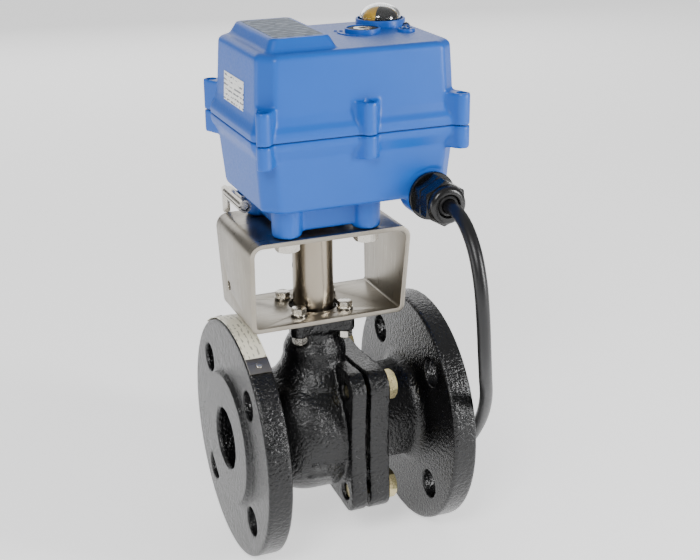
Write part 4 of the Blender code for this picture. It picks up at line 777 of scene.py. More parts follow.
def make_valve_body(settings):
    pocket = STEM_X - SEAT_FACE
    cavity_low = STEM_X - 20 * MM
    outside = bowl_profile() + rim(FLANGE_BACK, RAISED_FACE)
    outside += [(RAISED_FACE_RADIUS + 0.6 * MM, RAISED_FACE), (RAISED_FACE_RADIUS, 0.4 * MM)]
    outside += [(RAISED_FACE_RADIUS - 0.5 * MM, 0), (BORE_RADIUS + 0.6 * MM, 0)]
    inside = [
        (BORE_RADIUS, 0.6 * MM),
        (BORE_RADIUS, pocket),
        (SEAT_RADIUS, pocket),
        (SEAT_RADIUS, cavity_low),
        (CAVITY_RADIUS, cavity_low),
        (CAVITY_RADIUS, SPLIT_X - 1 * MM),
    ]
    body = revolve(outside + inside, along="X", steps=144)
    cut(body, *flange_holes(-5 * MM, FLANGE_BACK + 5 * MM))
    outline = waisted_square(SPLIT_HALF, SPLIT_CORNER, SPLIT_WAIST)
    flange = slab(outline, SPLIT_X - BODY_FLANGE, SPLIT_X, "X")
    cut(flange, rod((SPLIT_X - 30 * MM, 0, 0), (SPLIT_X + 5 * MM, 0, 0), CAVITY_RADIUS, 96))
    cut(flange, *bolt_holes(SPLIT_X - 20 * MM, SPLIT_X + 5 * MM))
    neck_profile = [(0, PAD_TOP - 2 * MM), (15.6 * MM, PAD_TOP - 2 * MM), (15.6 * MM, 61 * MM)]
    neck_profile += [(17.4 * MM, 58.6 * MM), (19.4 * MM, 54 * MM), (20 * MM, 48 * MM)]
    neck_profile += [(22 * MM, 42 * MM), (27 * MM, 35 * MM), (27 * MM, 33.6 * MM), (0, 33.6 * MM)]
    neck = revolve(neck_profile, (STEM_X, 0, 0), steps=72, ring=False)
    cut(neck, block((SPLIT_X - 1 * MM, -60 * MM, 0), (SPLIT_X + 60 * MM, 60 * MM, 48 * MM)))
    pad = slab(
        waisted_square(PAD_BOLT_OFFSET + PAD_EAR_RADIUS, PAD_EAR_RADIUS, PAD_WAIST),
        PAD_LOW,
        PAD_TOP,
        place=(STEM_X, 0, 0),
    )
    holes = []
    for x, y in four_corners(PAD_BOLT_OFFSET):
        low, high = (STEM_X + x, y, PAD_LOW - 3 * MM), (STEM_X + x, y, PAD_TOP + 3 * MM)
        holes.append(rod(low, high, PAD_BOLT_HOLE, 24))
    join(neck, pad)
    cut(neck, *holes)
    drilled = [(0, PAD_TOP + 5 * MM), (11 * MM, PAD_TOP + 5 * MM), (11 * MM, 51.7 * MM)]
    drilled += [(7.2 * MM, 51.7 * MM), (7.2 * MM, 24 * MM), (0, 24 * MM)]
    cut(neck, revolve(drilled, (STEM_X, 0, 0), steps=48, ring=False))
    cut(body, revolve(drilled, (STEM_X, 0, 0), steps=48, ring=False))
    marks = []
    for row, degrees in enumerate((-166, -152)):
        for index in range(4 + row):
            x = STEM_X - 16 * MM + index * 6 * MM - row * 2 * MM
            low = (x, -1.6 * MM, BOWL_RADIUS - 2 * MM)
            high = (x + 4 * MM, 1.6 * MM, BOWL_RADIUS + 0.8 * MM)
            mark = block(low, high)
            marks.append(place_mesh(mark, Matrix.Rotation(math.radians(degrees - 90), 4, "X")))
    skin = weld_solid([body, flange, neck] + marks, settings.voxel, 2)
    finish(
        skin, "valve_body_casting", "valve", MATERIALS["casting"],
        ["valve_body"], None,
    )


def make_end_connector(settings):
    pocket = STEM_X + SEAT_FACE
    back = FACE_TO_FACE - FLANGE_BACK
    face = FACE_TO_FACE - RAISED_FACE
    flange_end = TAIL_X + TAIL_FLANGE
    outside = [(RAISED_FACE_RADIUS - 0.5 * MM, FACE_TO_FACE)]
    outside += [(RAISED_FACE_RADIUS, FACE_TO_FACE - 0.4 * MM)]
    outside += [(RAISED_FACE_RADIUS + 0.6 * MM, face)] + rim(face, back)
    outside += fillet(back, FLANGE_FILLET, -1, range(6, 0, -1))
    outside += fillet(flange_end, TAIL_FILLET, 1)
    outside += [(NECK_RADIUS + TAIL_FILLET, TAIL_X + 1 * MM)]
    inside = [
        (SEAT_RADIUS, TAIL_X + 1 * MM),
        (SEAT_RADIUS, pocket),
        (BORE_RADIUS, pocket),
        (BORE_RADIUS, FACE_TO_FACE - 0.6 * MM),
        (BORE_RADIUS + 0.6 * MM, FACE_TO_FACE),
    ]
    tail = revolve(outside + inside, along="X", steps=144)
    cut(tail, *flange_holes(back - 5 * MM, FACE_TO_FACE + 5 * MM))
    flange = slab(waisted_square(SPLIT_HALF, SPLIT_CORNER, SPLIT_WAIST), TAIL_X, flange_end, "X")
    cut(flange, rod((TAIL_X - 5 * MM, 0, 0), (TAIL_X + 30 * MM, 0, 0), SEAT_RADIUS, 96))
    cut(flange, *bolt_holes(TAIL_X - 5 * MM, flange_end + 5 * MM))
    skin = weld_solid([tail, flange], settings.voxel, 2)
    finish(
        skin, "end_connector_casting", "valve", MATERIALS["casting"],
        ["end_connector"], None,
    )


def hex_head(flats, height):
    """A hexagon head on the floor plane, its upper corners turned off."""
    radius = flats / math.sqrt(3)
    head = rod((0, 0, 0), (0, 0, height), radius, 6)
    inner = flats / 2 - 0.1 * MM
    outer = radius + 0.2 * MM
    profile = [(0, height), (inner, height), (outer, height - (radius - inner) * 0.62)]
    profile += [(outer, -1 * MM), (0, -1 * MM)]
    return combine(head, [revolve(profile, steps=48, ring=False)], "INTERSECT")


def threaded(radius, length, pitch):
    """A threaded shank from the floor plane down, as close rings."""
    profile = [(0, 0)]
    turns = int(length / pitch)
    for index in range(turns):
        top = -index * pitch
        profile += [(radius - 0.35 * pitch, top), (radius, top - pitch / 2)]
    profile += [(radius - 0.5 * pitch, -length), (0, -length)]
    return revolve(profile, steps=28, ring=False)


def place_mesh(obj, matrix):
    obj.data.transform(matrix)
    obj.data.update()
    return obj


def fastener_tree():
    """Geometry nodes that set one fastener on each point and give it its metal."""
    tree = bpy.data.node_groups.new("fasteners", "GeometryNodeTree")
    face = tree.interface
    face.new_socket("Geometry", in_out="INPUT", socket_type="NodeSocketGeometry")
    face.new_socket("Fastener", in_out="INPUT", socket_type="NodeSocketObject")
    face.new_socket("Scale", in_out="INPUT", socket_type="NodeSocketFloat")
    face.new_socket("Metal", in_out="INPUT", socket_type="NodeSocketMaterial")
    face.new_socket("Geometry", in_out="OUTPUT", socket_type="NodeSocketGeometry")
    given = add(tree, "NodeGroupInput").outputs
    model = add(tree, "GeometryNodeObjectInfo", {"Object": given["Fastener"]})
    copies = add(
        tree,
        "GeometryNodeInstanceOnPoints",
        {
            "Points": given["Geometry"],
            "Instance": model.outputs["Geometry"],
            "Scale": given["Scale"],
        },
    )
    solid = add(tree, "GeometryNodeRealizeInstances", {"Geometry": copies.outputs[0]})
    metal = add(
        tree,
        "GeometryNodeSetMaterial",
        {"Geometry": solid.outputs[0], "Material": given["Metal"]},
    )
    add(tree, "NodeGroupOutput", {"Geometry": metal.outputs[0]})
    return tree


def set_fasteners(model, places, metal, name, node):
    """Sets the model on each place as one plain mesh, which stands for the numbered nodes."""
    bm = bmesh.new()
    for place in places:
        bm.verts.new(place)
    points = from_bmesh(bm, "cast", recalculate=False)
    tree = bpy.data.node_groups.get("fasteners") or fastener_tree()
    modifier = points.modifiers.new("Fasteners", "NODES")
    modifier.node_group = tree
    inputs = [item for item in tree.interface.items_tree if item.in_out == "INPUT"]
    sockets = {item.name: item.identifier for item in inputs}
    modifier[sockets["Fastener"]] = model
    modifier[sockets["Scale"]] = 1.0
    modifier[sockets["Metal"]] = MATERIALS[metal]
    flatten(points)
    drop(model)
    nodes = [f"{node}_{index + 1}" for index in range(len(places))]
    finish(points, name, "valve", None, nodes, 30)


def upside_down(obj):
    return place_mesh(obj, Matrix.Rotation(math.pi, 4, "X"))


def make_fasteners():
    head_low = TAIL_X + TAIL_FLANGE + GAP
    shank = threaded(BODY_BOLT_RADIUS, head_low - SPLIT_X + BODY_FLANGE - 2 * MM, 1.5 * MM)
    bolt = join(hex_head(16 * MM, 6.4 * MM), shank)
    place_mesh(bolt, Matrix.Rotation(math.pi / 2, 4, "Y"))
    places = [(head_low, y, z) for y, z in four_corners(BODY_BOLT_OFFSET)]
    set_fasteners(bolt, places, "zinc", "body_bolts", "body_bolt")
    seat = BRACKET_LOW + BRACKET_SHEET + GAP
    washer = revolve([(5 * MM, 1 * MM), (5 * MM, 0), (2.2 * MM, 0), (2.2 * MM, 1 * MM)], steps=40)
    head = place_mesh(hex_head(8 * MM, 3.9 * MM), Matrix.Translation((0, 0, 0.6 * MM)))
    shank = threaded(PAD_BOLT_RADIUS, seat - 60.6 * MM, 0.8 * MM)
    screw = join(washer, head, place_mesh(shank, Matrix.Translation((0, 0, 0.9 * MM))))
    places = [(STEM_X + x, y, seat) for x, y in four_corners(PAD_BOLT_OFFSET)]
    set_fasteners(screw, places, "fastener", "bracket_screws", "bracket_screw")
    nut_top = PAD_LOW - GAP
    nut = upside_down(hex_head(8 * MM, 4 * MM))
    cut(nut, rod((0, 0, -6 * MM), (0, 0, 2 * MM), 2.75 * MM, 24))
    places = [(STEM_X + x, y, nut_top) for x, y in four_corners(PAD_BOLT_OFFSET)]
    set_fasteners(nut, places, "fastener", "bracket_nuts", "bracket_nut")
    head_top = BRACKET_HIGH - BRACKET_SHEET - GAP
    bolt = upside_down(hex_head(13 * MM, 5.3 * MM))
    shank = upside_down(threaded(FOOT_BOLT_RADIUS, 150 * MM - head_top, 1.25 * MM))
    join(bolt, shank)
    places = [(STEM_X + x, y, head_top) for x, y in four_corners(FOOT_BOLT_OFFSET)]
    set_fasteners(bolt, places, "fastener", "actuator_bolts", "actuator_bolt")


def make_rating_tag():
    inner = FLANGE_RADIUS + GAP
    outer = inner + 0.5 * MM
    low, high = 3.7 * MM, 17.3 * MM
    for name, start_at, end_at, metal, thick in (
        ("rating_tag_band", 62, 125, "cream", 0),
        ("rating_tag_clip", 54, 62, "sheet", 0.25 * MM),
    ):
        band = arc((0, 0), outer + thick, 180 - start_at, 180 - end_at, 24)
        band += arc((0, 0), inner, 180 - end_at, 180 - start_at, 24)
        piece = slab(band, low, high, "X")
        nodes = ["rating_tag"] if metal == "cream" else []
        finish(piece, name, "valve", MATERIALS[metal], nodes)
    rivets = []
    for degrees in (58, 120):
        angle = math.radians(180 - degrees)
        y, z = math.cos(angle), math.sin(angle)
        x = (low + high) / 2
        start_at, end_at = outer + 0.1 * MM, outer + 0.9 * MM
        rivets.append(rod((x, y * start_at, z * start_at), (x, y * end_at, z * end_at), 1.9 * MM, 24))
    soften_edges(join(*rivets), 0.35 * MM, 3)
    finish(rivets[0], "rating_tag_rivets", "valve", MATERIALS["fastener"])


# ---------------------------------------------------------------- bracket and coupling
def bracket_outline(inset, bend_low, bend_high):
    low, high = BRACKET_LOW + inset, BRACKET_HIGH - inset
    corners = [
        (-BRACKET_HALF_LOW + inset, low),
        (BRACKET_HALF_LOW - inset, low),
        (BRACKET_HALF_HIGH - inset, high),
        (-BRACKET_HALF_HIGH + inset, high),
    ]
    return rounded(corners, [bend_low, bend_low, bend_high, bend_high], 10)


def make_bracket():
    outer = bracket_outline(0, BRACKET_BEND_LOW, BRACKET_BEND_HIGH)
    inner = bracket_outline(
        BRACKET_SHEET, BRACKET_BEND_LOW - BRACKET_SHEET, BRACKET_BEND_HIGH - BRACKET_SHEET
    )
    bm = bmesh.new()
    rise = (BRACKET_DEPTH_HIGH - BRACKET_DEPTH_LOW) / (BRACKET_HIGH - BRACKET_LOW)
    loops = []
    for outline, side in ((outer, -1), (outer, 1), (inner, 1), (inner, -1)):
        loop = []
        for x, z in outline:
            depth = BRACKET_DEPTH_LOW + rise * (z - BRACKET_LOW)
            loop.append(bm.verts.new((STEM_X + x, side * depth, z)))
        loops.append(loop)
    for first, second in zip(loops, loops[1:] + loops[:1]):
        for index in range(len(first)):
            after = (index + 1) % len(first)
            bm.faces.new((first[index], first[after], second[after], second[index]))
    frame_piece = from_bmesh(bm, "bracket")
    tools = [rod((STEM_X, 0, 70 * MM), (STEM_X, 0, 90 * MM), BRACKET_HOLE_LOW, 64)]
    tools.append(rod((STEM_X, 0, 125 * MM), (STEM_X, 0, 140 * MM), BRACKET_HOLE_HIGH, 64))
    for x, y in four_corners(PAD_BOLT_OFFSET):
        tools.append(rod((STEM_X + x, y, 70 * MM), (STEM_X + x, y, 90 * MM), PAD_BOLT_HOLE, 24))
    for x, y in four_corners(FOOT_BOLT_OFFSET):
        tools.append(rod((STEM_X + x, y, 125 * MM), (STEM_X + x, y, 140 * MM), FOOT_BOLT_HOLE, 24))
    height = BRACKET_LOW + 0.3 * (BRACKET_HIGH - BRACKET_LOW)
    outward, inward = STEM_X - 60 * MM, STEM_X - 40 * MM
    side_hole = (outward, SIDE_HOLE_Y, height), (inward, SIDE_HOLE_Y, height)
    tools.append(rod(*side_hole, SIDE_HOLE_RADIUS, 24))
    cut(frame_piece, *tools)
    soften_edges(frame_piece, 0.35 * MM, 2, 40)
    finish(frame_piece, "bracket_frame", "valve", MATERIALS["sheet"], ["mounting_bracket"])


def make_coupling():
    edge = 0.7 * MM
    profile = [(COUPLING_RADIUS - edge, COUPLING_HIGH), (COUPLING_RADIUS, COUPLING_HIGH - edge)]
    profile += [(COUPLING_RADIUS, COUPLING_LOW + edge), (COUPLING_RADIUS - edge, COUPLING_LOW)]
    profile.append((0, COUPLING_LOW))
    sleeve = revolve([(0, COUPLING_HIGH)] + profile, (STEM_X, 0, 0), steps=96, ring=False)
    tools = []
    for half, low, high in ((4.8 * MM, 70 * MM, 99.2 * MM), (6.8 * MM, 114.5 * MM, 140 * MM)):
        tools.append(block((STEM_X - half, -half, low), (STEM_X + half, half, high)))
    angle = math.radians(PIN_HOLE_BEARING)
    x, y = 20 * MM * math.cos(angle), 20 * MM * math.sin(angle)
    height = COUPLING_LOW + PIN_HOLE_HEIGHT
    near, far = (STEM_X + x * 0.3, y * 0.3, height), (STEM_X + x, y, height)
    tools.append(rod(near, far, PIN_HOLE_RADIUS, 28))
    cut(sleeve, *tools)
    finish(sleeve, "coupling", "drive", MATERIALS["turned"], ["coupling_sleeve"])


# ---------------------------------------------------------------- actuator housing
def housing_ring(inset, height):
    half_x, half_y = HOUSING_HALF_X - inset, HOUSING_HALF_Y - inset
    chamfer = HOUSING_CORNER
    corners = [
        (half_x, -half_y + chamfer),
        (half_x, half_y - chamfer),
        (half_x - chamfer, half_y),
        (-half_x + chamfer, half_y),
        (-half_x, half_y - chamfer),
        (-half_x, -half_y + chamfer),
        (-half_x + chamfer, -half_y),
        (half_x - chamfer, -half_y),
    ]
    return [(HOUSING_X + x, y, height) for x, y in rounded(corners, [HOUSING_EDGE] * 8, 5)]


def edge_rings(inset, height, direction):
    rings = []
    for step in range(7):
        angle = math.radians(15 * step)
        inward = HOUSING_EDGE * (1 - math.cos(angle))
        rise = HOUSING_EDGE * (math.sin(angle) - 1)
        rings.append(housing_ring(inset + inward, height + direction * rise))
    return rings


def boss_outline(x, side, inset):
    y = side * BOSS_Y
    wall = side * (HOUSING_HALF_Y - inset - HOUSING_WALL / 2)
    left, right = x - BOSS_SPREAD, x + BOSS_SPREAD
    nose = arc((x, y), BOSS_RADIUS, side * 20, side * 160, 14)
    if x == BOSS_X[1]:
        feet = [(left, wall), (right, wall)]
    else:
        outward = -1 if x == BOSS_X[0] else 1
        edge = HOUSING_X + outward * (HOUSING_HALF_X - inset - HOUSING_WALL / 2)
        back = wall - side * HOUSING_CORNER
        front = x - outward * (BOSS_SPREAD + 1.6 * MM)
        feet = [(edge, back), (front, wall)]
        if outward > 0:
            feet.reverse()
    outline = nose + feet
    return outline if side > 0 else outline[::-1]


def screw_wells(low, high, radius):
    places = [(x, side * BOSS_Y) for side in (-1, 1) for x in BOSS_X]
    return [rod((x, y, low), (x, y, high), radius, 28) for x, y in places]


def bosses(low, high):
    return [slab(boss_outline(x, side, BELT_STEP), low, high) for side in (-1, 1) for x in BOSS_X]


def label_pad():
    rings = []
    slope = 3.4 * MM
    for grow, height in ((slope, HOUSING_TOP - 2 * MM), (slope, HOUSING_TOP), (0, LABEL_TOP)):
        half_x, half_y = LABEL_HALF_X + grow, LABEL_HALF_Y + grow
        corners = [(half_x, -half_y), (half_x, half_y), (-half_x, half_y), (-half_x, -half_y)]
        outline = rounded(corners, [3.5 * MM] * 4, 5)
        rings.append([(LABEL_X + x, y, height) for x, y in outline])
    return loft(rings)


def make_cover(settings):
    inset = BELT_STEP + 1.5 * MM
    rings = [
        housing_ring(0, HOUSING_SPLIT),
        housing_ring(0, HOUSING_SPLIT + 3.6 * MM),
        housing_ring(0.5 * MM, HOUSING_SPLIT + 5.4 * MM),
        housing_ring(2.4 * MM, HOUSING_SPLIT + 8.4 * MM),
        housing_ring(BELT_STEP, COVER_BELT_TOP),
    ]
    rings += edge_rings(inset, HOUSING_TOP, 1)
    shell = loft(rings)
    hollow = loft(
        [
            housing_ring(HOUSING_WALL + 0.2 * MM, HOUSING_SPLIT - 5 * MM),
            housing_ring(HOUSING_WALL + 0.2 * MM, HOUSING_SPLIT + 3.6 * MM),
            housing_ring(HOUSING_WALL + inset, COVER_BELT_TOP),
            housing_ring(HOUSING_WALL + inset, HOUSING_TOP - HOUSING_WALL),
        ]
    )
    cut(shell, hollow)
    parts = bosses(HOUSING_SPLIT, BOSS_HIGH)
    pad = label_pad()
    join(shell, *parts, pad)
    holes = [(INDICATOR, 11.7 * MM), (OVERRIDE, 5.9 * MM), (LAMP, 2.7 * MM)]
    cut(shell, *[rod((*p, 235 * MM), (*p, 260 * MM), r, 48) for p, r in holes])
    skin = weld_solid([shell], settings.cover_voxel, 2)
    cut(skin, *screw_wells(BOSS_HIGH - WELL_DEPTH, BOSS_HIGH + 3 * MM, 3.2 * MM))
    finish(skin, "cover_casting", "valve", MATERIALS["blue"], ["actuator_cover"])
    for name, place, inner, radius, rise in (
        ("dome_ring", INDICATOR, 13.7 * MM, 15 * MM, 4.3 * MM),
        ("override_ring", OVERRIDE, 9.5 * MM, 10.6 * MM, 2.6 * MM),
        ("lamp_ring", LAMP, 3.7 * MM, 5.3 * MM, 1.6 * MM),
    ):
        top = HOUSING_TOP + rise
        profile = [(inner, top), (radius - 0.5 * MM, top), (radius - 0.1 * MM, top - 0.2 * MM)]
        profile += [(radius, top - 0.6 * MM), (radius, HOUSING_TOP - 0.5 * MM)]
        profile += [(inner, HOUSING_TOP - 0.5 * MM)]
        ring = revolve(profile, (*place, 0), steps=72)
        finish(ring, name, "valve", MATERIALS["blue"])


def make_gasket():
    """A flat rubber ring between the halves, set back from their edges."""
    low, high = HOUSING_SPLIT - HALVES_LINE, HOUSING_SPLIT
    ring = loft([housing_ring(1.3 * MM, low), housing_ring(1.3 * MM, high)])
    cut(ring, loft([housing_ring(3.4 * MM, low - 1 * MM), housing_ring(3.4 * MM, high + 1 * MM)]))
    finish(ring, "cover_gasket_ring", "valve", MATERIALS["rubber"], ["cover_gasket"])


def make_base(settings):
    floor_inset = BELT_STEP + 2.4 * MM
    top = HOUSING_SPLIT - HALVES_LINE
    rings = edge_rings(floor_inset, FLOOR_LOW, -1)[::-1]
    rings += [
        housing_ring(BELT_STEP, BASE_BELT[0]),
        housing_ring(0.4 * MM, BASE_BELT[1]),
        housing_ring(0, BASE_BELT[2]),
        housing_ring(0, top),
    ]
    shell = loft(rings)
    hollow = loft(
        [
            housing_ring(HOUSING_WALL + floor_inset, FLOOR_LOW + HOUSING_WALL),
            housing_ring(HOUSING_WALL + BELT_STEP, BASE_BELT[0]),
            housing_ring(HOUSING_WALL, BASE_BELT[2]),
            housing_ring(HOUSING_WALL, top + 5 * MM),
        ]
    )
    cut(shell, hollow)
    half = 27.5 * MM
    corners = [(-half, -half), (half, -half), (half, half), (-half, half)]
    outline = [(STEM_X + x, y) for x, y in rounded(corners, [6 * MM] * 4)]
    foot = slab(outline, FOOT_LOW + 2.6 * MM, FLOOR_LOW + 1 * MM)
    pads = []
    for x, y in four_corners(FOOT_BOLT_OFFSET):
        profile = [(0, FLOOR_LOW + 1 * MM), (9 * MM, FLOOR_LOW + 1 * MM)]
        profile += [(8.7 * MM, FOOT_LOW + 1.4 * MM), (8.2 * MM, FOOT_LOW + 0.4 * MM)]
        profile += [(7.4 * MM, FOOT_LOW), (0, FOOT_LOW)]
        pads.append(revolve(profile, (STEM_X + x, y, 0), steps=48, ring=False))
    parts = bosses(BOSS_LOW, top)
    join(shell, foot, *pads, *parts)
    gland_x, seat, gland_z = GLAND
    cut(shell, rod((gland_x, -80 * MM, gland_z), (gland_x, seat, gland_z), 17.5 * MM, 64))
    join(shell, rod((gland_x, seat, gland_z), (gland_x, -28 * MM, gland_z), 14.2 * MM, 64))
    cut(shell, rod((gland_x, -60 * MM, gland_z), (gland_x, -20 * MM, gland_z), 10 * MM, 48))
    cut(shell, rod((STEM_X, 0, 130 * MM), (STEM_X, 0, 160 * MM), 13.3 * MM, 64))
    cut(shell, *screw_wells(180 * MM, 200 * MM, 2.3 * MM))
    skin = weld_solid([shell], settings.cover_voxel, 2)
    finish(skin, "base_casting", "valve", MATERIALS["blue"], ["actuator_base"], None)


def make_cover_screws():
    head = rod((0, 0, 0), (0, 0, 4 * MM), 3 * MM, 36)
    soften_edges(head, 0.4 * MM, 2)
    cut(head, rod((0, 0, 2 * MM), (0, 0, 6 * MM), 3 * MM / math.sqrt(3), 6))
    join(head, threaded(COVER_SCREW_RADIUS, 20 * MM, 0.7 * MM))
    seat = BOSS_HIGH - WELL_DEPTH + GAP
    places = [(x, side * BOSS_Y, seat) for side in (-1, 1) for x in BOSS_X]
    set_fasteners(head, places, "fastener", "cover_screws", "cover_screw")


# ---------------------------------------------------------------- top of the cover
def dome_curve(radius, rise, steps):
    return [(x, z * rise / radius) for x, z in arc((0, 0), radius, 90, 0, steps)]


def make_indicator():
    seat, spring = HOUSING_TOP + GAP, HOUSING_TOP + DOME_SKIRT
    reach = DOME_RADIUS - DOME_WALL
    outer = [(x, spring + z) for x, z in dome_curve(DOME_RADIUS, DOME_HEIGHT, 16)]
    inner = [(x, spring + z) for x, z in dome_curve(reach, DOME_HEIGHT - DOME_WALL, 16)]
    profile = outer + [(DOME_RADIUS, seat + 1.5 * MM), (13.4 * MM, seat + 1.5 * MM)]
    profile += [(13.4 * MM, seat), (reach, seat)] + inner[::-1]
    dome = revolve(profile, (*INDICATOR, 0), steps=72, ring=False)
    finish(dome, "dome", "valve", MATERIALS["clear"], ["indicator_dome"], 50)
    reach -= 0.8 * MM
    base = HOUSING_TOP + 1 * MM
    profile = [(x, spring + z) for x, z in dome_curve(reach, DOME_HEIGHT - DOME_WALL - 1 * MM, 12)]
    profile += [(reach, base), (3 * MM, base), (3 * MM, 173 * MM), (0, 173 * MM)]
    rotor = revolve(profile, (*INDICATOR, 0), steps=72, ring=False)
    finish(
        rotor, "rotor", "indicator", MATERIALS["rotor"],
        ["position_indicator"], 50,
    )


def make_top_details():
    half_x, half_y = 14.6 * MM, 30 * MM
    corners = [(half_x, -half_y), (half_x, half_y), (-half_x, half_y), (-half_x, -half_y)]
    outline = rounded(corners, [2 * MM] * 4)
    label = slab(outline, LABEL_TOP - 0.1 * MM, LABEL_TOP + 0.15 * MM, place=(LABEL_X, 0, 0))
    finish(label, "rating_label", "valve", MATERIALS["label"])
    arrow = arc(OVERRIDE, 15.2 * MM, 150, 236, 24) + arc(OVERRIDE, 13.8 * MM, 236, 150, 24)
    band = slab(arrow, HOUSING_TOP - 0.4 * MM, HOUSING_TOP + 0.5 * MM)
    tip = math.radians(150)
    centre = OVERRIDE + Vector((math.cos(tip), math.sin(tip))) * 14.5 * MM
    ahead = Vector((math.sin(tip), -math.cos(tip)))
    across = Vector((math.cos(tip), math.sin(tip)))
    point = [centre + across * 2.6 * MM, centre - across * 2.6 * MM, centre + ahead * 4.4 * MM]
    head = slab([tuple(p) for p in point], HOUSING_TOP - 0.4 * MM, HOUSING_TOP + 0.5 * MM)
    finish(join(band, head), "turn_arrow", "valve", MATERIALS["blue"])
    wall_x = HOUSING_X - HOUSING_HALF_X + BELT_STEP
    sticker = block((-0.2 * MM, -18 * MM, -8.3 * MM), (0.15 * MM, 18 * MM, 8.3 * MM))
    lean = Matrix.Rotation(math.radians(2.8), 4, "Y")
    place_mesh(sticker, Matrix.Translation((wall_x + 0.15 * MM, 2 * MM, 218 * MM)) @ lean)
    finish(sticker, "wall_sticker", "valve", MATERIALS["sticker"])


# ---------------------------------------------------------------- gland and cable
def gland_ring(profile, steps=96):
    points = [(radius, -out) for radius, out in profile]
    return revolve(points, tuple(GLAND), "Y", steps)


def gland_hexagon(near, far):
    """A hexagon along the gland's axis, with the corners of both its ends turned off."""
    gland_x, seat, gland_z = GLAND
    radius, inner = GLAND_FLATS / math.sqrt(3), GLAND_FLATS / 2
    prism = rod((gland_x, seat - near, gland_z), (gland_x, seat - far, gland_z), radius, 6)
    slope = (radius - inner) * 0.6
    outer = radius + 0.1 * MM
    profile = [(0, -near), (inner, -near), (outer, -near - slope)]
    profile += [(outer, -far + slope), (inner, -far), (0, -far)]
    lathe = revolve(profile, tuple(GLAND), "Y", 64, ring=False)
    return combine(prism, [lathe], "INTERSECT")


def gland_bore(near, far, radius, sides):
    """A rod along the gland's axis, between two distances out from the housing."""
    gland_x, seat, gland_z = GLAND
    return rod((gland_x, seat - near, gland_z), (gland_x, seat - far, gland_z), radius, sides)


def make_gland():
    bore = 6.4 * MM
    washer, hex_end, thread_end, cap_end = 3 * MM, 11 * MM, 18 * MM, GLAND_LENGTH
    body = gland_ring(
        [
            (9.7 * MM, -14 * MM),
            (9.7 * MM, GAP),
            (14.2 * MM, GAP),
            (14.5 * MM, GAP + 0.4 * MM),
            (14.5 * MM, washer - 0.5 * MM),
            (14.1 * MM, washer),
            (9.3 * MM, washer),
            (9.3 * MM, thread_end),
            (bore, thread_end),
            (bore, -14 * MM),
        ]
    )
    nut = gland_hexagon(washer - 0.5 * MM, hex_end)
    cut(nut, gland_bore(-5 * MM, 30 * MM, bore + 1 * MM, 48))
    join(body, nut)
    finish(body, "gland_body", "valve", MATERIALS["nylon"], ["cable_gland_body"])
    low = hex_end + 0.5 * MM
    flats_end = low + 8.5 * MM
    cap = gland_hexagon(low, flats_end)
    radius = 11.4 * MM
    nose = [(radius, flats_end - 1 * MM), (radius, cap_end - 3 * MM)]
    nose += [(radius - 0.5 * MM, cap_end - 1.4 * MM), (radius - 1.3 * MM, cap_end - 0.5 * MM)]
    nose += [(radius - 2.6 * MM, cap_end), (7.2 * MM, cap_end), (6.8 * MM, cap_end - 0.4 * MM)]
    nose += [(6.8 * MM, flats_end - 1 * MM)]
    join(cap, gland_ring(nose))
    cut(cap, gland_bore(0, thread_end + GAP, 9.6 * MM, 64))
    cut(cap, gland_bore(0, 40 * MM, 6.8 * MM, 64))
    finish(cap, "gland_cap", "valve", MATERIALS["nylon"], ["cable_gland_nut"])
    seal = gland_ring(
        [(6.1 * MM, 12 * MM), (6.1 * MM, cap_end - 1 * MM), (5.6 * MM, cap_end - 0.4 * MM)]
        + [(4.5 * MM, cap_end - 0.6 * MM), (4.3 * MM, cap_end - 1 * MM), (4.3 * MM, 12 * MM)]
    )
    finish(seal, "gland_bush", "valve", MATERIALS["rubber"], ["gland_seal"])


def smooth_route(points, spacing):
    """Points about one spacing apart on a smooth curve through the route."""
    ends = [points[0] * 2 - points[1]] + points + [points[-1] * 2 - points[-2]]
    found = []
    for before, first, last, after in zip(ends, ends[1:], ends[2:], ends[3:]):
        count = max(1, round((last - first).length / spacing))
        for step in range(count):
            t = step / count
            found.append(
                0.5
                * (
                    2 * first
                    + (last - before) * t
                    + (2 * before - 5 * first + 4 * last - after) * t**2
                    + (3 * first - before - 3 * last + after) * t**3
                )
            )
    return found + [points[-1]]


def cable_path():
    points = [Vector(point) * MM for point in CABLE_ROUTE]
    low = FLOOR_Z + CABLE_RADIUS
    steps = 48
    for index in range(steps + 1):
        share = COIL_TURNS * index / steps
        angle = math.radians(15) + 2 * math.pi * share
        climb = max(0.0, min(1.0, (share - 0.72) / 0.16))
        lift = 2 * CABLE_RADIUS * climb * climb * (3 - 2 * climb)
        spot = COIL_CENTRE + Vector((math.cos(angle), math.sin(angle))) * COIL_RADIUS
        points.append(Vector((*spot, low + lift)))
    return smooth_route(points, 3 * MM)


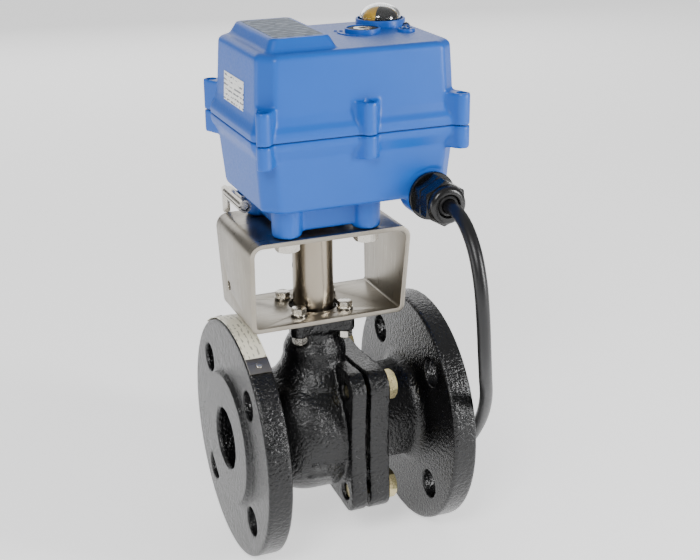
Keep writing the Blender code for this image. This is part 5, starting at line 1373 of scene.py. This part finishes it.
def make_cable():
    path = cable_path()
    curve = bpy.data.curves.new("power_cable_sheath", "CURVE")
    curve.dimensions = "3D"
    curve.bevel_depth = CABLE_RADIUS
    curve.bevel_resolution = 6
    curve.use_fill_caps = True
    spline = curve.splines.new("POLY")
    spline.points.add(len(path) - 1)
    for point, place in zip(spline.points, path):
        point.co = (*place, 1)
    spline.use_smooth = True
    cable = keep(bpy.data.objects.new("power_cable_sheath", curve))
    curve.materials.append(MATERIALS["sheath"])
    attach(cable, "valve")
    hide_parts("power_cable", "cable_coil")
    outer, inner, half = CABLE_RADIUS * 2.02, CABLE_RADIUS * 1.85, 1.6 * MM
    tie = revolve([(outer, half), (outer, -half), (inner, -half), (inner, half)], steps=40)
    place_mesh(tie, Matrix.Rotation(math.pi / 2, 4, "X") @ Matrix.Scale(0.61, 4, (1, 0, 0)))
    side = (COIL_CENTRE.x - COIL_RADIUS, COIL_CENTRE.y, FLOOR_Z + 2 * CABLE_RADIUS + 0.1 * MM)
    place_mesh(tie, Matrix.Translation(side))
    finish(tie, "cable_tie", "valve", MATERIALS["nylon"])


# ---------------------------------------------------------------- settings and operators
class ValveSettings(PropertyGroup):
    voxel: FloatProperty(
        name="Casting grain",
        description="How finely the valve's castings are modelled",
        default=0.0011,
        unit="LENGTH",
    )
    cover_voxel: FloatProperty(
        name="Housing grain",
        description="How finely the housing's castings are modelled",
        default=0.001,
        unit="LENGTH",
    )
    blue: FloatVectorProperty(
        name="Housing colour",
        description="Colour of the powder coat",
        subtype="COLOR",
        default=(0.004, 0.1, 0.48),
        min=0,
        max=1,
    )
    ambient: FloatProperty(
        name="Ambient", description="Strength of the white surroundings", default=0.4, min=0
    )
    floor_glow: FloatProperty(
        name="Floor glow", description="How much the floor lights itself", default=0.8, min=0
    )
    key: FloatProperty(
        name="Key light", description="Power of the main light", default=12.0, min=0, subtype="POWER"
    )


class VALVE_OT_stage(Operator):
    """Sets the camera, the floor and the lights"""

    bl_idname = "valve.stage"
    bl_label = "Stage"

    def execute(self, context):
        make_camera()
        make_stage(context.scene.valve_settings)
        return {"FINISHED"}


class VALVE_OT_finishes(Operator):
    """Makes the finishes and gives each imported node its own"""

    bl_idname = "valve.finishes"
    bl_label = "Finishes"

    def execute(self, context):
        make_materials(context.scene.valve_settings)
        dress_frame()
        return {"FINISHED"}


class VALVE_OT_cable(Operator):
    """Lays the power cable and its coil"""

    bl_idname = "valve.cable"
    bl_label = "Cable"

    def execute(self, context):
        make_cable()
        return {"FINISHED"}


class VALVE_OT_body(Operator):
    """Casts the valve body"""

    bl_idname = "valve.body"
    bl_label = "Valve body"

    def execute(self, context):
        make_valve_body(context.scene.valve_settings)
        return {"FINISHED"}


class VALVE_OT_tail(Operator):
    """Casts the end connector"""

    bl_idname = "valve.tail"
    bl_label = "End connector"

    def execute(self, context):
        make_end_connector(context.scene.valve_settings)
        return {"FINISHED"}


class VALVE_OT_bolts(Operator):
    """Sets the valve's and the bracket's bolts, screws and nuts"""

    bl_idname = "valve.bolts"
    bl_label = "Bolts and nuts"

    def execute(self, context):
        make_fasteners()
        return {"FINISHED"}


class VALVE_OT_tag(Operator):
    """Bends the tag round the inlet flange's rim"""

    bl_idname = "valve.tag"
    bl_label = "Rating tag"

    def execute(self, context):
        make_rating_tag()
        return {"FINISHED"}


class VALVE_OT_bracket(Operator):
    """Folds the bracket"""

    bl_idname = "valve.bracket"
    bl_label = "Bracket"

    def execute(self, context):
        make_bracket()
        return {"FINISHED"}


class VALVE_OT_coupling(Operator):
    """Turns the coupling sleeve"""

    bl_idname = "valve.coupling"
    bl_label = "Coupling"

    def execute(self, context):
        make_coupling()
        return {"FINISHED"}


class VALVE_OT_cover(Operator):
    """Casts the cover, its rings and its gasket"""

    bl_idname = "valve.cover"
    bl_label = "Cover"

    def execute(self, context):
        make_cover(context.scene.valve_settings)
        make_gasket()
        return {"FINISHED"}


class VALVE_OT_base(Operator):
    """Casts the base"""

    bl_idname = "valve.base"
    bl_label = "Base"

    def execute(self, context):
        make_base(context.scene.valve_settings)
        return {"FINISHED"}


class VALVE_OT_screws(Operator):
    """Sets the cover screws"""

    bl_idname = "valve.screws"
    bl_label = "Cover screws"

    def execute(self, context):
        make_cover_screws()
        return {"FINISHED"}


class VALVE_OT_indicator(Operator):
    """Makes the dome and the position rotor"""

    bl_idname = "valve.indicator"
    bl_label = "Indicator"

    def execute(self, context):
        make_indicator()
        return {"FINISHED"}


class VALVE_OT_labels(Operator):
    """Lays the label, the sticker and the turning arrow"""

    bl_idname = "valve.labels"
    bl_label = "Labels"

    def execute(self, context):
        make_top_details()
        return {"FINISHED"}


class VALVE_OT_gland(Operator):
    """Turns the gland's body, cap and bush"""

    bl_idname = "valve.gland"
    bl_label = "Cable gland"

    def execute(self, context):
        make_gland()
        return {"FINISHED"}


OPERATORS = (
    VALVE_OT_stage,
    VALVE_OT_finishes,
    VALVE_OT_cable,
    VALVE_OT_body,
    VALVE_OT_tail,
    VALVE_OT_bolts,
    VALVE_OT_tag,
    VALVE_OT_bracket,
    VALVE_OT_coupling,
    VALVE_OT_cover,
    VALVE_OT_base,
    VALVE_OT_screws,
    VALVE_OT_indicator,
    VALVE_OT_labels,
    VALVE_OT_gland,
)


class VALVE_PT_panel(Panel):
    bl_label = "Motorized valve"
    bl_space_type = "VIEW_3D"
    bl_region_type = "UI"
    bl_category = "Valve"

    def draw(self, context):
        for made in OPERATORS:
            self.layout.operator(made.bl_idname)


CLASSES = (ValveSettings, *OPERATORS, VALVE_PT_panel)


def register():
    for item in CLASSES:
        bpy.utils.register_class(item)
    bpy.types.Scene.valve_settings = PointerProperty(type=ValveSettings)


def unregister():
    del bpy.types.Scene.valve_settings
    for item in reversed(CLASSES):
        bpy.utils.unregister_class(item)


def main():
    register()
    for made in OPERATORS:
        getattr(bpy.ops.valve, made.bl_idname.split(".")[1])()


if __name__ == "__main__":
    main()
